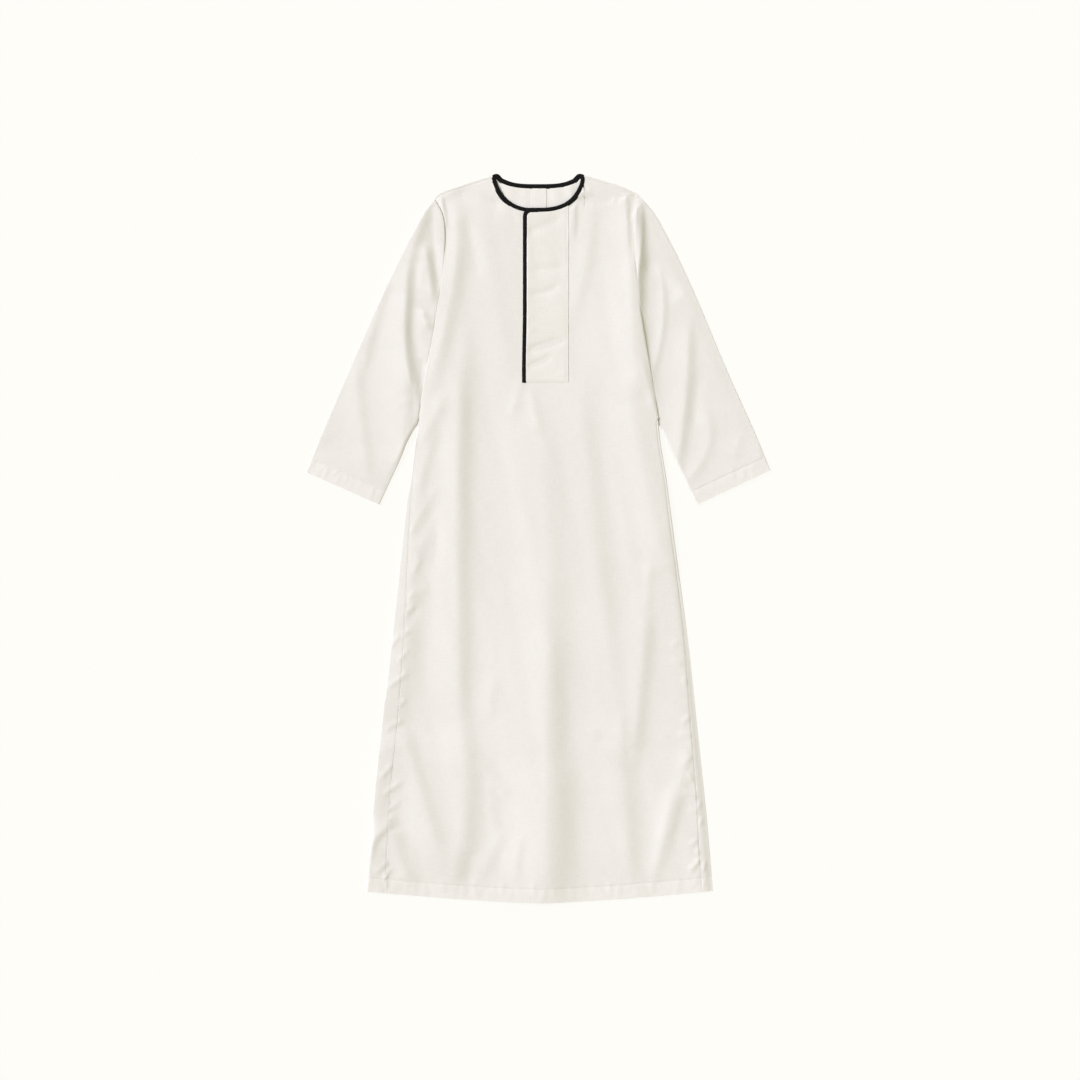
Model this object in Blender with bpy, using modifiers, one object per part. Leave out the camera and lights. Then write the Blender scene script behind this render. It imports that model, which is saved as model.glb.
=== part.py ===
"""An ankle-length robe with long sleeves, a bound neck and a placket, laid flat on its back.

X runs from sleeve to sleeve, Y from hem to neck and Z up from the surface that it lies on.
The cloth is an open surface for each cut piece, given its wall by a Solidify modifier.
The upper layer of body and sleeves takes its height from one function, so that neighbours
meet at their seams. Sizes are in millimetres and become metres as each mesh is made.
"""

import math

import bmesh
import bpy

MM = 0.001

WALL = 1.0  # cloth
GAP = 0.3  # between layers and across seams
SEAM_EASE = 0.1  # more on each side of a seam, for the straight runs along its curve
ARMHOLE_EASE = 0.45  # the same on the sleeve's side of an armhole, where its cloth slopes more
EDGE = 3.0  # over a folded edge: two walls and the air between them
ROLL = EDGE / 2  # radius of a folded edge
LEAST = 2 * WALL + GAP + 0.2  # lowest that an upper layer lies over the one under it
LOFT = 2.4  # how far the upper layer stands up below the shoulders
EDGE_FALL = {"left": 4.5, "right": 16.0}  # how near its right-hand folded edge a sleeve comes down
EDGE_FALL_SHARE = {"left": 0.3, "right": 0.5}  # share of its height that is lost there

HEM_Y = -677.0  # hem at the two side folds
HEM_SAG = 23.0  # the hem's middle below its sides
HEM_HALF = 333.0
HEM_POWER = 1.45
ARMPIT_Y = 222.0
SHOULDER_TIP_Y = 651.5

NECK_HALF = 84.5  # middle of the binding, from the centre line
NECK_TOP = 692.0
NECK_BEND = 4.0  # radius of the binding's turn at each shoulder
NECK_POWERS = {"left": 2.1, "right": 2.5}
# How far the left neckline lies outside its ellipse, by the angle from the middle.
NECK_PULL_COLUMNS = ("angle", "out")
NECK_PULL_ROWS = (
    (0, 0.6),
    (15, 1.7),
    (28, 2.0),
    (40, 1.5),
    (50, 0.7),
    (63, -0.3),
    (77, -0.8),
    (90, 0.0),
)
BACK_NECK_Y = 676.1
BACK_NECK_HALF = 81.5
BACK_NECK_RISE = 17.6
BACK_NECK_POWER = 3.3
FRONT_NECK_DEPTH = 61.5
TAPE_WIDTH = 7.0
TAPE_THICK = 2.2
TAPE_CLEAR = TAPE_WIDTH / 2 + GAP
# Section of the binding, as shares of its width and thickness.
TAPE_PROFILE = ((-0.5, 0.0), (-0.5, 0.6), (-0.36, 1.0), (0.36, 1.0), (0.5, 0.6), (0.5, 0.0))
NECK_TURN = 122.0  # degrees through which the binding turns at each shoulder
BACK_RUN = 72.0  # the back run of the binding ends this far from the middle

PLACKET_FOOT_Y = 299.0
PLACKET_TAPE_X = -27.1  # middle of the upright binding, at its foot
TAPE_DRIFT = 1.65  # its upper part lies this far to the right
PLACKET_TURN = 13.0  # radius of the binding's turn from neck to placket
PLACKET_TURN_X = PLACKET_TAPE_X + PLACKET_TURN
PLACKET_LEFT = PLACKET_TAPE_X + TAPE_CLEAR
PLACKET_RIGHT = 58.0
SLIT_LEFT = -14.8
SLIT_RIGHT = -13.2

STRIP_LEFT = -12.8
STRIP_RIGHT = 15.9
STRIP_FOOT_Y = 596.0
STRIP_WALL = 1.0

# Outline of the body from hem to shoulder: folded edges up to the armpit, armhole seams above it.
SIDE_COLUMNS = ("y", "left", "right")
SIDE_ROWS = (
    (-720, -334.0, 338.5),
    (-677, -330.7, 335.5),
    (-540, -319.0, 324.0),
    (-368, -301.9, 306.0),
    (-195, -282.8, 287.5),
    (-22, -263.5, 264.5),
    (64, -253.9, 253.0),
    (122, -244.3, 245.3),
    (180, -237.4, 235.7),
    (222, -231.0, 231.0),
    (289, -221.3, 221.8),
    (372, -205.9, 206.6),
    (443, -194.2, 195.4),
    (482, -187.0, 192.4),
    (520, -182.0, 187.8),
    (558, -179.8, 184.6),
    (598, -180.2, 183.2),
    (620, -183.5, 186.6),
    (636, -190.0, 191.6),
    (652, -199.8, 200.6),
)

# Side seams, where the front ends and the back, folded forward, begins.
SEAM_COLUMNS = ("y", "left", "right")
SEAM_ROWS = (
    (-720, -297.5, 318.5),
    (-606, -290.4, 309.5),
    (-499, -284.6, 304.0),
    (-339, -269.0, 291.4),
    (-158, -256.0, 277.0),
    (34, -247.0, 251.5),
    (122, -239.6, 240.6),
    (180, -232.8, 231.1),
    (222, -226.6, 226.6),
)

# Upper edge of each shoulder, from the neck out.
SHOULDER_COLUMNS = ("out", "left_y", "right_y")
SHOULDER_ROWS = (
    (80.0, 698.6, 700.0),
    (116.0, 688.2, 690.0),
    (162.0, 673.0, 675.4),
    (183.0, 665.4, 666.0),
    (193.0, 659.4, 660.4),
    (201.0, 651.0, 651.0),
)

# Sleeves from armhole to cuff: outer folded edge, then inner folded edge.
SLEEVE_COLUMNS = ("along", "outer_x", "outer_y", "inner_x", "inner_y")
SLEEVE_ROWS = {
    "left": (
        (0.00, -200.2, 651.7, -232.2, 218.5),
        (0.06, -219.4, 627.0, -238.6, 209.5),
        (0.15, -244.3, 582.8, -246.0, 196.0),
        (0.27, -273.1, 525.2, -253.9, 179.6),
        (0.44, -313.4, 438.8, -265.4, 150.8),
        (0.65, -363.4, 323.6, -279.8, 120.0),
        (0.84, -413.3, 208.4, -293.5, 90.5),
        (1.00, -445.9, 127.8, -305.2, 65.2),
    ),
    "right": (
        (0.00, 201.0, 651.2, 232.2, 218.5),
        (0.06, 222.2, 627.0, 238.6, 209.5),
        (0.15, 247.2, 582.8, 245.0, 196.0),
        (0.27, 276.0, 525.2, 251.0, 179.6),
        (0.44, 314.4, 438.8, 264.5, 150.8),
        (0.65, 362.4, 323.6, 279.0, 120.0),
        (0.84, 414.2, 208.4, 292.8, 90.5),
        (1.00, 445.9, 131.6, 305.4, 65.2),
    ),
}

# Soft folds: the crest runs through three points, and falls away to its left and right.
FOLD_COLUMNS = (
    "top_x",
    "top_y",
    "mid_x",
    "mid_y",
    "low_x",
    "low_y",
    "left",
    "right",
    "rise",
)
BODY_FOLDS = {
    "chest_left": (-172, 656, -161, 515, -226, 234, 29, 18, 4.3),
    "waist_left": (-145, 444, -158, 10, -145, -473, 56, 24, 7.5),
    "skirt_left": (-153, -341, -146, -528, -183, -696, 130, 33, 8.5),
    "side_left": (-231, 235, -245, -60, -267, -381, 52, 25, 4.5),
    "centre_high": (-18, 284, 15, 25, 9, -183, 76, 35, 4.5),
    "centre": (20, -24, 14, -452, 17, -744, 95, 37, 10.8),
    "centre_low": (50, -410, 40, -554, 41, -755, 59, 32, 3.7),
    "waist_right": (79, 370, 101, 60, 153, -344, 70, 28, 4.2),
    "edge_right": (167, 314, 201, 133, 262, -123, 43, 50, 7.1),
    "hip_right": (207, -95, 191, -296, 173, -454, 98, 19, 5.5),
    "skirt_right": (148, -347, 164, -510, 172, -691, 69, 21, 3.3),
    "side_right": (259, -467, 241, -563, 215, -676, 15, 15, 3.1),
    "side_right_low": (287, -401, 270, -483, 239, -618, 19, 12, 2.2),
    "hip_left": (-270, -355, -234, -466, -179, -662, 130, 19, 5.2),
    "shoulder_right": (166, 656, 169, 629, 173, 527, 44, 5.9, 3.1),
    "armhole_right": (176, 596, 180, 393, 202, 262, 45, 31, 7.9),
    "neck_right": (97, 654, 96, 559, 52, 388, 25, 14, 1.6),
}
SLEEVE_FOLDS = {
    "left": {
        "upper": (-202, 648, -240, 568, -261, 458, 84, 13, 5.2),
        "elbow": (-245, 548, -257, 368, -225, 261, 39, 13, 7.9),
        "head": (-221, 572, -211, 510, -203, 444, 25, 11, 5.6),
        "lower_top": (-283, 508, -317, 412, -343, 297, 23, 11, 2.3),
        "lower": (-356, 355, -343, 236, -325, 85, 24, 14, 2.1),
        "underarm": (-232, 282, -256, 224, -249, 103, 37, 43, 5.5),
    },
    "right": {
        "head": (168, 688, 192, 553, 172, 407, 49, 13, 9.7),
        "head_low": (195, 501, 189, 388, 225, 239, 40, 17, 7.7),
        "upper": (224, 541, 239, 419, 204, 278, 10, 8.4, 1.8),
        "elbow": (285, 441, 282, 279, 254, 78, 23, 13, 3.8),
        "lower": (312, 262, 325, 176, 261, 88, 16, 11, 1.6),
    },
}
FOLD_STEPS = 8  # straight runs that stand for a crest when its distance is measured
FOLD_POWERS = {"left": 1.4, "right": 2.0}  # a sharper flank on the left, a rounder one on the right

# How far the body's edges stand up or lie down, and the width of that roll: over the sleeves
# beside the armholes, and down both sides.
SWELL_COLUMNS = ("y", "left", "left_width", "right", "right_width")
SWELL_ROWS = (
    (-720, 0.3, 34, -4.1, 9),
    (-600, 6.9, 36, -3.2, 9),
    (-400, 7.0, 38, -3.5, 9),
    (-200, 3.0, 38, -3.6, 9),
    (0, -0.7, 34, -1.1, 9),
    (120, -1.2, 30, -0.5, 9),
    (215, 2.2, 30, 1.6, 40),
    (250, 2.8, 30, 0.8, 40),
    (300, 1.8, 30, 1.8, 45),
    (400, -0.3, 30, 3.5, 45),
    (500, 0.9, 30, 1.7, 45),
    (590, -3.5, 30, 3.5, 45),
    (630, -2.9, 30, 2.5, 40),
    (655, 0.4, 30, -1.1, 40),
)
SHARED_REACH = 45.0  # how far the body's folds run on into the left sleeve
SEAM_REACH = 9.0  # how far the armhole seam holds a sleeve at the body's height

# Rows of points across the panels: how far up each block they lie.
NECK_ANGLES = (80.0, 69.0, 58.0, 48.0, 38.0, 28.0)  # columns that end on the neckline
CHORD = 0.65  # straight runs between those columns stand back this much more
ROLL_STEPS = 5
SKIRT_ROWS = 19
ARM_ROWS = 3
CHEST_ROWS = 6
SHOULDER_ROWS_UP = 5
SHOULDER_BLOCK = 75.0  # the armhole curves most along this last stretch
EDGE_ROW = 3.5  # the last row of each panel lies this far inside its upper edge

# Rings of a sleeve, by their share of its length, and points round each ring.
SLEEVE_STATIONS = (
    *(0.0, 0.05, 0.11, 0.18, 0.26, 0.34, 0.42, 0.5),
    *(0.58, 0.66, 0.74, 0.82, 0.9, 0.965, 1.0),
)
SLEEVE_ACROSS = 22
SLEEVE_TURNS = 4
SLEEVE_UNDER = 11

CLOTH = (0.895, 0.865, 0.825, 1.0)
CLOTH_SHADE = (0.87, 0.835, 0.775, 1.0)
TAPE_BLACK = (0.012, 0.011, 0.010, 1.0)


def clear_scene():
    """Removes everything that the file opened with."""
    for obj in list(bpy.data.objects):
        bpy.data.objects.remove(obj, do_unlink=True)
    for collection in list(bpy.data.collections):
        bpy.data.collections.remove(collection)


def smooth(value):
    """0 below 0, 1 above 1 and an S-curve between."""
    value = min(max(value, 0.0), 1.0)
    return value * value * (3.0 - 2.0 * value)


def from_table(rows, columns, key, column, at):
    """One column of a table, read at a key with a smooth curve through the rows."""
    keys = [row[columns.index(key)] for row in rows]
    values = [row[columns.index(column)] for row in rows]
    at = min(max(at, keys[0]), keys[-1])
    i = max(j for j in range(len(keys) - 1) if keys[j] <= at)
    slopes = []
    for j in (i, i + 1):
        before, after = max(j - 1, 0), min(j + 1, len(keys) - 1)
        slopes.append((values[after] - values[before]) / (keys[after] - keys[before]))
    span = keys[i + 1] - keys[i]
    t = (at - keys[i]) / span
    return (
        values[i] * (2 * t**3 - 3 * t**2 + 1)
        + slopes[0] * span * (t**3 - 2 * t**2 + t)
        + values[i + 1] * (3 * t**2 - 2 * t**3)
        + slopes[1] * span * (t**3 - t**2)
    )


def side_x(y, side):
    return from_table(SIDE_ROWS, SIDE_COLUMNS, "y", side, y)


def seam_x(y, side):
    """Edge of the front: the side seam up to the armpit, the armhole seam above it."""
    if y >= ARMPIT_Y + 12.0:
        return side_x(y, side)
    seam = from_table(SEAM_ROWS, SEAM_COLUMNS, "y", side, y)
    return seam + (side_x(y, side) - seam) * smooth((y - ARMPIT_Y) / 12.0)


def hem_y(x):
    return HEM_Y - HEM_SAG * (1.0 - min(abs(x) / HEM_HALF, 1.0) ** HEM_POWER)


def shoulder_y(x):
    side = "left_y" if x < 0 else "right_y"
    return from_table(SHOULDER_ROWS, SHOULDER_COLUMNS, "out", side, abs(x))


def neck_point(side, angle, out=0.0):
    """A point of the front neckline, moved out from the opening.

    The angle is 0 at the middle and a right angle at the shoulder. The line is an ellipse, a
    little squarer on the right and pulled out on the left.
    """
    power = 2 / NECK_POWERS[side]
    sign = -1 if side == "left" else 1
    if side == "left":
        pull = from_table(NECK_PULL_ROWS, NECK_PULL_COLUMNS, "angle", "out", math.degrees(angle))
        out = out + pull
    x = NECK_HALF * math.sin(angle) ** power
    y = NECK_TOP - FRONT_NECK_DEPTH * math.cos(angle)
    run = NECK_HALF * power * max(math.sin(angle), 0.02) ** (power - 1) * math.cos(angle)
    rise = FRONT_NECK_DEPTH * math.sin(angle)
    length = math.hypot(run, rise)
    return sign * (x + out * rise / length), y - out * run / length


def neck_edge_y(x):
    """Edge of the cloth below the binding, across the front."""
    side = "left" if x < 0 else "right"
    steps = 60
    before = (0.0, NECK_TOP - FRONT_NECK_DEPTH - TAPE_CLEAR)
    for i in range(1, steps + 1):
        point = neck_point(side, math.pi / 2 * i / steps, TAPE_CLEAR)
        if abs(point[0]) >= abs(x):
            t = (abs(x) - abs(before[0])) / (abs(point[0]) - abs(before[0]))
            return before[1] + (point[1] - before[1]) * t
        before = point
    return before[1]


def back_neck_y(x):
    return BACK_NECK_Y + BACK_NECK_RISE * abs(x / BACK_NECK_HALF) ** BACK_NECK_POWER


def back_edge_y(x):
    """Edge of the cloth below the binding, across the back."""
    share = abs(x) / BACK_NECK_HALF
    slope = BACK_NECK_POWER * BACK_NECK_RISE * share ** (BACK_NECK_POWER - 1) / BACK_NECK_HALF
    return back_neck_y(x) - TAPE_CLEAR * math.hypot(1.0, slope) - 0.2


def fold_crest(row):
    """Points along a fold's crest, a parabola through its three points."""
    named = dict(zip(FOLD_COLUMNS, row))
    points = []
    for i in range(FOLD_STEPS + 1):
        t = i / FOLD_STEPS
        weights = ((1 - t) * (1 - 2 * t), 4 * t * (1 - t), t * (2 * t - 1))
        points.append(
            tuple(
                sum(w * named[f"{place}_{axis}"] for w, place in zip(weights, ("top", "mid", "low")))
                for axis in ("x", "y")
            )
        )
    return points


def prepared(folds):
    return [(fold_crest(row), *row[FOLD_COLUMNS.index("left") :]) for row in folds.values()]


def fold_rise(x, y, folds):
    """Height that the folds add at a point: a soft ridge that fades out at both ends."""
    total = 0.0
    for crest, left, right, rise in folds:
        best = None
        for i in range(FOLD_STEPS):
            (ax, ay), (bx, by) = crest[i], crest[i + 1]
            run_x, run_y = bx - ax, by - ay
            t = ((x - ax) * run_x + (y - ay) * run_y) / (run_x**2 + run_y**2)
            t = min(max(t, 0.0), 1.0)
            off_x, off_y = x - ax - t * run_x, y - ay - t * run_y
            distance = math.hypot(off_x, off_y)
            if best is None or distance < best[0]:
                best = (distance, run_x * off_y - run_y * off_x, (i + t) / FOLD_STEPS)
        distance, turn, along = best
        width, power = (right, FOLD_POWERS["right"]) if turn > 0 else (left, FOLD_POWERS["left"])
        fade = smooth(along / 0.25) * smooth((1.0 - along) / 0.25)
        total += rise * fade * math.exp(-((distance / width) ** power))
    return total


def front_height(x, y, folds):
    """Upper face of the front, and of the back where it comes round to the front."""
    if abs(x) > NECK_HALF:
        below = max(shoulder_y(x) - y, 0.0)
    else:
        below = math.hypot(NECK_HALF - abs(x), max(shoulder_y(NECK_HALF) - y, 0.0))
    height = EDGE + LOFT * smooth(below / 45.0) + fold_rise(x, y, folds) * smooth(below / 12.0)
    for side in ("left", "right"):
        away = x - side_x(y, side)
        swell, width = (
            from_table(SWELL_ROWS, SWELL_COLUMNS, "y", column, y)
            for column in (side, side + "_width")
        )
        height += swell * math.exp(-((away / width) ** 2))
    # The shoulder comes down to its seam on the back.
    drop = (EDGE - 2 * WALL - GAP - 0.3) * smooth((abs(x) - NECK_HALF - 6.0) / 24.0)
    return max(height - drop * (1.0 - smooth(below / 8.0)), LEAST)


def rolled(lift, edge_height):
    """Height on a folded edge. Lift is 0 under it and 2 on top, as on a circle of radius 1."""
    return ROLL * lift * (1.0 + (edge_height / EDGE - 1.0) * smooth(lift / 2.0))


def link(obj, collection):
    collection.objects.link(obj)
    return obj


def material(name, colour, roughness):
    made = bpy.data.materials.new(name)
    made.use_nodes = True
    shader = made.node_tree.nodes["Principled BSDF"]
    shader.inputs["Base Color"].default_value = colour
    shader.inputs["Roughness"].default_value = roughness
    shader.inputs["Metallic"].default_value = 0.0
    return made


def sheet(name, grid, skip, surface, collection, wall=WALL, ring=False):
    """A grid of points as an open surface with a wall put under it.

    The grid is a list of rows. A cell in skip, named by row and column, is left open. On a ring
    the last column joins the first.
    """
    mesh = bpy.data.meshes.new(name)
    shape = bmesh.new()
    made = {}

    def corner(i, j):
        if (i, j) not in made:
            made[i, j] = shape.verts.new([c * MM for c in grid[i][j]])
        return made[i, j]

    columns = len(grid[0])
    for i in range(len(grid) - 1):
        for j in range(columns if ring else columns - 1):
            if (i, j) not in skip:
                k = (j + 1) % columns
                shape.faces.new((corner(i, j), corner(i, k), corner(i + 1, k), corner(i + 1, j)))
    shape.to_mesh(mesh)
    shape.free()
    mesh.shade_smooth()
    mesh.materials.append(surface)
    obj = link(bpy.data.objects.new(name, mesh), collection)
    layer = obj.modifiers.new("wall", "SOLIDIFY")
    layer.thickness = wall * MM
    layer.offset = -1.0
    layer.use_even_offset = True
    return obj


def spread(start, stop, count):
    """Even steps from start up to, but not including, stop."""
    return [start + (stop - start) * i / count for i in range(count)]


def row_places():
    """Rows from hem to neck as (block, place in the block), closer together at both ends."""
    places = [("skirt", t) for t in spread(0.0, 1.0, SKIRT_ROWS)]
    places += [("arm", t) for t in spread(0.0, 1.0, ARM_ROWS)]
    places += [("chest", t) for t in spread(0.0, 1.0, CHEST_ROWS)]
    places += [("shoulder", t) for t in spread(0.0, 1.0, SHOULDER_ROWS_UP)]
    return places + [("edge", 0.0), ("edge", 1.0)]


def row_y(place, low, high):
    """Height up the page of a row's point on a column that runs from low to high."""
    block, t = place
    if block == "skirt":
        return low + (ARMPIT_Y - low) * t
    if block == "arm":
        return ARMPIT_Y + (PLACKET_FOOT_Y - ARMPIT_Y) * t
    if block == "chest":
        return PLACKET_FOOT_Y + (high - SHOULDER_BLOCK - PLACKET_FOOT_Y) * t
    if block == "shoulder":
        return high - SHOULDER_BLOCK + (SHOULDER_BLOCK - EDGE_ROW) * t
    return high - EDGE_ROW * (1.0 - t)


def column_x(j, knots, y):
    """X of a column: knots are (column, function of y)."""
    for (first, start), (last, stop) in zip(knots, knots[1:]):
        if first <= j <= last:
            return start(y) + (stop(y) - start(y)) * (j - first) / (last - first)
    raise ValueError("column outside the panel")


def neck_knot(x_top, x_hem):
    """A column that leaves the neckline at x_top and has spread to x_hem well below it."""
    return lambda y: x_hem + (x_top - x_hem) * smooth((y - PLACKET_FOOT_Y) / 300.0)


def panel_grid(knots, top, height):
    """Points of a panel whose columns follow the knots and end at the line top."""
    columns = knots[-1][0] + 1
    tops = []
    for j in range(columns):
        high = SHOULDER_TIP_Y
        for _ in range(4):
            x = column_x(j, knots, high)
            high = top(j, x)
        tops.append(high)
    grid = []
    for place in row_places():
        row = []
        for j in range(columns):
            low = HEM_Y
            for _ in range(3):
                x = column_x(j, knots, row_y(place, low, tops[j]))
                low = hem_y(x)
            y = row_y(place, low, tops[j])
            row.append((x, y, height(x, y)))
        grid.append(row)
    return grid


def front_panel(folds, surface, collection):
    """The front, open along a slit above the placket's foot."""
    inset = GAP / 2 + SEAM_EASE
    corner = neck_point("right", math.pi / 2, TAPE_CLEAR)[0] + CHORD
    knots = [
        (0, lambda y: seam_x(y, "left") + inset),
        (2, lambda y: seam_x(y, "left") + 11.0),
        (8, neck_knot(-corner, -112.0)),
    ]
    tops = {}
    for angle, x_hem in zip(NECK_ANGLES, (-100.0, -88.0, -75.0, -62.0, -50.0, -38.0)):
        x, y = neck_point("left", math.radians(angle), TAPE_CLEAR + CHORD)
        tops[len(knots) + 6] = y
        knots.append((len(knots) + 6, neck_knot(x, x_hem)))
    start = knots[-1][0]
    knots += [
        (start + 1, lambda y: PLACKET_TAPE_X),
        (start + 2, lambda y: SLIT_LEFT),
        (start + 3, lambda y: SLIT_RIGHT),
        (start + 7, lambda y: PLACKET_RIGHT),
    ]
    slit_column = start + 2
    for i, (angle, x_hem) in enumerate(zip(reversed(NECK_ANGLES[:4]), (70.0, 81.0, 92.0, 103.0))):
        x, y = neck_point("right", math.radians(angle), TAPE_CLEAR + CHORD)
        tops[start + 8 + i] = y
        knots.append((start + 8 + i, neck_knot(x, x_hem)))
    last = start + 12
    knots += [
        (last, neck_knot(corner, 114.0)),
        (last + 6, lambda y: seam_x(y, "right") - 11.0),
        (last + 8, lambda y: seam_x(y, "right") - inset),
    ]

    def top(j, x):
        if j in tops:
            return tops[j]
        if j <= 8 or j >= last:
            return shoulder_y(x) - (1.5 if j in (8, last) else 0.0)
        return neck_edge_y(x if j <= slit_column else max(x, PLACKET_TURN_X + 4.0)) - CHORD

    grid = panel_grid(knots, top, lambda x, y: front_height(x, y, folds))
    foot = SKIRT_ROWS + ARM_ROWS
    slit = {(i, slit_column) for i in range(foot, len(grid) - 1)}
    return sheet("front_panel", grid, slit, surface, collection)


def back_panel(folds, surface, collection):
    """The back: flat underneath, rolled up and over to the front along both sides."""
    inset = GAP / 2 + SEAM_EASE
    corner = neck_point("right", math.pi / 2, TAPE_CLEAR)[0] + CHORD
    knots = [(0, lambda y: back_edge_x(y, "left")), (3, neck_knot(-corner, -112.0))]
    spaced = (-80.5, -67.0, -54.0, -38.0, -18.0, 0.0, 18.0, 38.0, 54.0, 67.0, 80.5)
    knots += [(4 + i, neck_knot(x, 1.22 * x)) for i, x in enumerate(spaced)]
    last = 4 + len(spaced)
    knots += [(last, neck_knot(corner, 112.0)), (last + 3, lambda y: back_edge_x(y, "right"))]

    def top(j, x):
        if j <= 3 or j >= last:
            return shoulder_y(x) - (1.5 if j in (3, last) else 0.0)
        return back_edge_y(x)

    bottom = panel_grid(knots, top, lambda x, y: 0.0)
    grid = []
    for row in bottom:
        sides = []
        for place, side, sign in ((0, "left", -1), (-1, "right", 1)):
            y = row[place][1]
            fold_x = side_x(y, side) - sign * ROLL
            # Then flat from the top of the roll to the seam.
            end = seam_x(y, side) + sign * inset
            top_height = front_height(fold_x, y, folds)
            near_hem = smooth(1.0 - (y - bottom[0][place][1]) / 60.0)
            points = []
            for k in range(1, ROLL_STEPS + 1):
                angle = math.pi * k / ROLL_STEPS
                out = fold_x + sign * ROLL * math.sin(angle)
                points.append((out, y, rolled(1.0 - math.cos(angle), top_height)))
            for t in (0.5, 1.0):
                x = fold_x + (end - fold_x) * t
                level = y + (hem_y(x) - hem_y(fold_x)) * near_hem
                points.append((x, level, front_height(x, level, folds)))
            sides.append(points)
        # Right to left, so that the faces look down.
        grid.append(list(reversed(sides[1])) + list(reversed(row)) + sides[0])
    turned = ROLL_STEPS + 2
    open_rows = range(SKIRT_ROWS, len(grid) - 1)
    ends = list(range(turned)) + list(range(len(grid[0]) - 1 - turned, len(grid[0]) - 1))
    skip = {(i, j) for i in open_rows for j in ends}
    return sheet("back_panel", grid, skip, surface, collection)


def back_edge_x(y, side):
    """Edge of the back's flat part: start of the roll, or the armhole seam."""
    sign = -1 if side == "left" else 1
    inset = ROLL if y < ARMPIT_Y + 1.0 else GAP / 2 + SEAM_EASE
    return side_x(y, side) - sign * inset


def beside_body(side, y, body):
    """How far the body's folds lift the sleeve sewn to it. The right one lies under the body."""
    if side == "right":
        return 0.0
    return fold_rise(side_x(y, side), y, body) * smooth((y - ARMPIT_Y + 10.0) / 50.0)


def sleeve(name, side, folds, body, surface, collection):
    """A flat tube: ring after ring from the armhole seam to the cuff."""
    sign = -1 if side == "left" else 1
    rows = SLEEVE_ROWS[side]
    across, turns, under = SLEEVE_ACROSS, SLEEVE_TURNS, SLEEVE_UNDER
    grid = []
    for along in SLEEVE_STATIONS:
        outer, inner = (
            [from_table(rows, SLEEVE_COLUMNS, "along", f"{edge}_{axis}", along) for axis in "xy"]
            for edge in ("outer", "inner")
        )
        length = math.hypot(inner[0] - outer[0], inner[1] - outer[1])
        unit = [(inner[k] - outer[k]) / length for k in (0, 1)]

        def place(t):
            """Point across the sleeve: straight, but curved like the armhole near it."""
            x, y = (outer[k] + unit[k] * (ROLL + (length - 2 * ROLL) * t) for k in (0, 1))
            start = [rows[0][SLEEVE_COLUMNS.index(f"outer_{axis}")] for axis in "xy"]
            end = [rows[0][SLEEVE_COLUMNS.index(f"inner_{axis}")] for axis in "xy"]
            seam_y = start[1] - ROLL + (end[1] - start[1] + 2 * ROLL) * t
            seam = side_x(seam_y, side) + sign * (GAP / 2 + ARMHOLE_EASE)
            straight = start[0] + (end[0] - start[0]) * (seam_y - start[1]) / (end[1] - start[1])
            return x + (seam - straight) * (1.0 - along) ** 3, y

        def free_height(x, y, from_right):
            """Upper face, but for what the armhole seam does to it."""
            fall = EDGE_FALL_SHARE[side] * math.exp(-((from_right / EDGE_FALL[side]) ** 2))
            from_body = abs(x - side_x(y, side))
            shared = beside_body(side, y, body) * math.exp(-((from_body / SHARED_REACH) ** 2))
            return EDGE + (LOFT + fold_rise(x, y, folds)) * (1.0 - fall) + shared

        ring = []
        for k in range(across + 1):
            t = (k / across) ** 1.3
            x, y = place(t)
            from_right = (t if sign > 0 else 1.0 - t) * (length - 2 * ROLL)
            seam = side_x(y, side)
            step = front_height(seam, y, body) - free_height(seam, y, from_right)
            step *= smooth(min(t, 1.0 - t) * length / 12.0)
            height = free_height(x, y, from_right)
            height += step * math.exp(-(((x - seam) / SEAM_REACH) ** 2))
            ring.append((x, y, max(height, LEAST)))
        outer_height, inner_height = ring[0][2], ring[-1][2]
        for k in range(1, turns):
            angle = math.pi * k / turns
            x, y = place(1.0 + ROLL * math.sin(angle) / (length - 2 * ROLL))
            ring.append((x, y, rolled(1.0 + math.cos(angle), inner_height)))
        for k in range(under + 1):
            x, y = place((1.0 - k / under) ** 1.3)
            ring.append((x, y, 0.0))
        for k in range(1, turns):
            angle = math.pi * k / turns
            x, y = place(-ROLL * math.sin(angle) / (length - 2 * ROLL))
            ring.append((x, y, rolled(1.0 - math.cos(angle), outer_height)))
        grid.append(ring if sign > 0 else list(reversed(ring)))
    return sheet(name, grid, set(), surface, collection, ring=True)


def placket(folds, surface, collection):
    """A strip on the front beside the slit, its points those of the front moved out."""
    turn = PLACKET_TURN - TAPE_CLEAR
    columns = [PLACKET_LEFT, PLACKET_LEFT + 1.2, PLACKET_LEFT + 4.5]
    columns += spread(PLACKET_TURN_X + 2.0, PLACKET_RIGHT, 6) + [PLACKET_RIGHT]
    rows = 12
    grid = []
    for i in range(rows + 1):
        row = []
        for x in columns:
            high = neck_edge_y(max(x, PLACKET_TURN_X + 4.0)) - CHORD
            if x < PLACKET_TURN_X:
                high -= turn - math.sqrt(max(turn**2 - (PLACKET_TURN_X - x) ** 2, 0.0))
            y = PLACKET_FOOT_Y + (high - PLACKET_FOOT_Y) * i / rows
            moved = x + tape_drift(y) * (1.0 - smooth((x - PLACKET_LEFT) / 25.0))
            row.append((moved, y, front_height(moved, y, folds) + WALL + GAP + 0.1))
        grid.append(row)
    return sheet("placket", grid, set(), surface, collection)


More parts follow.
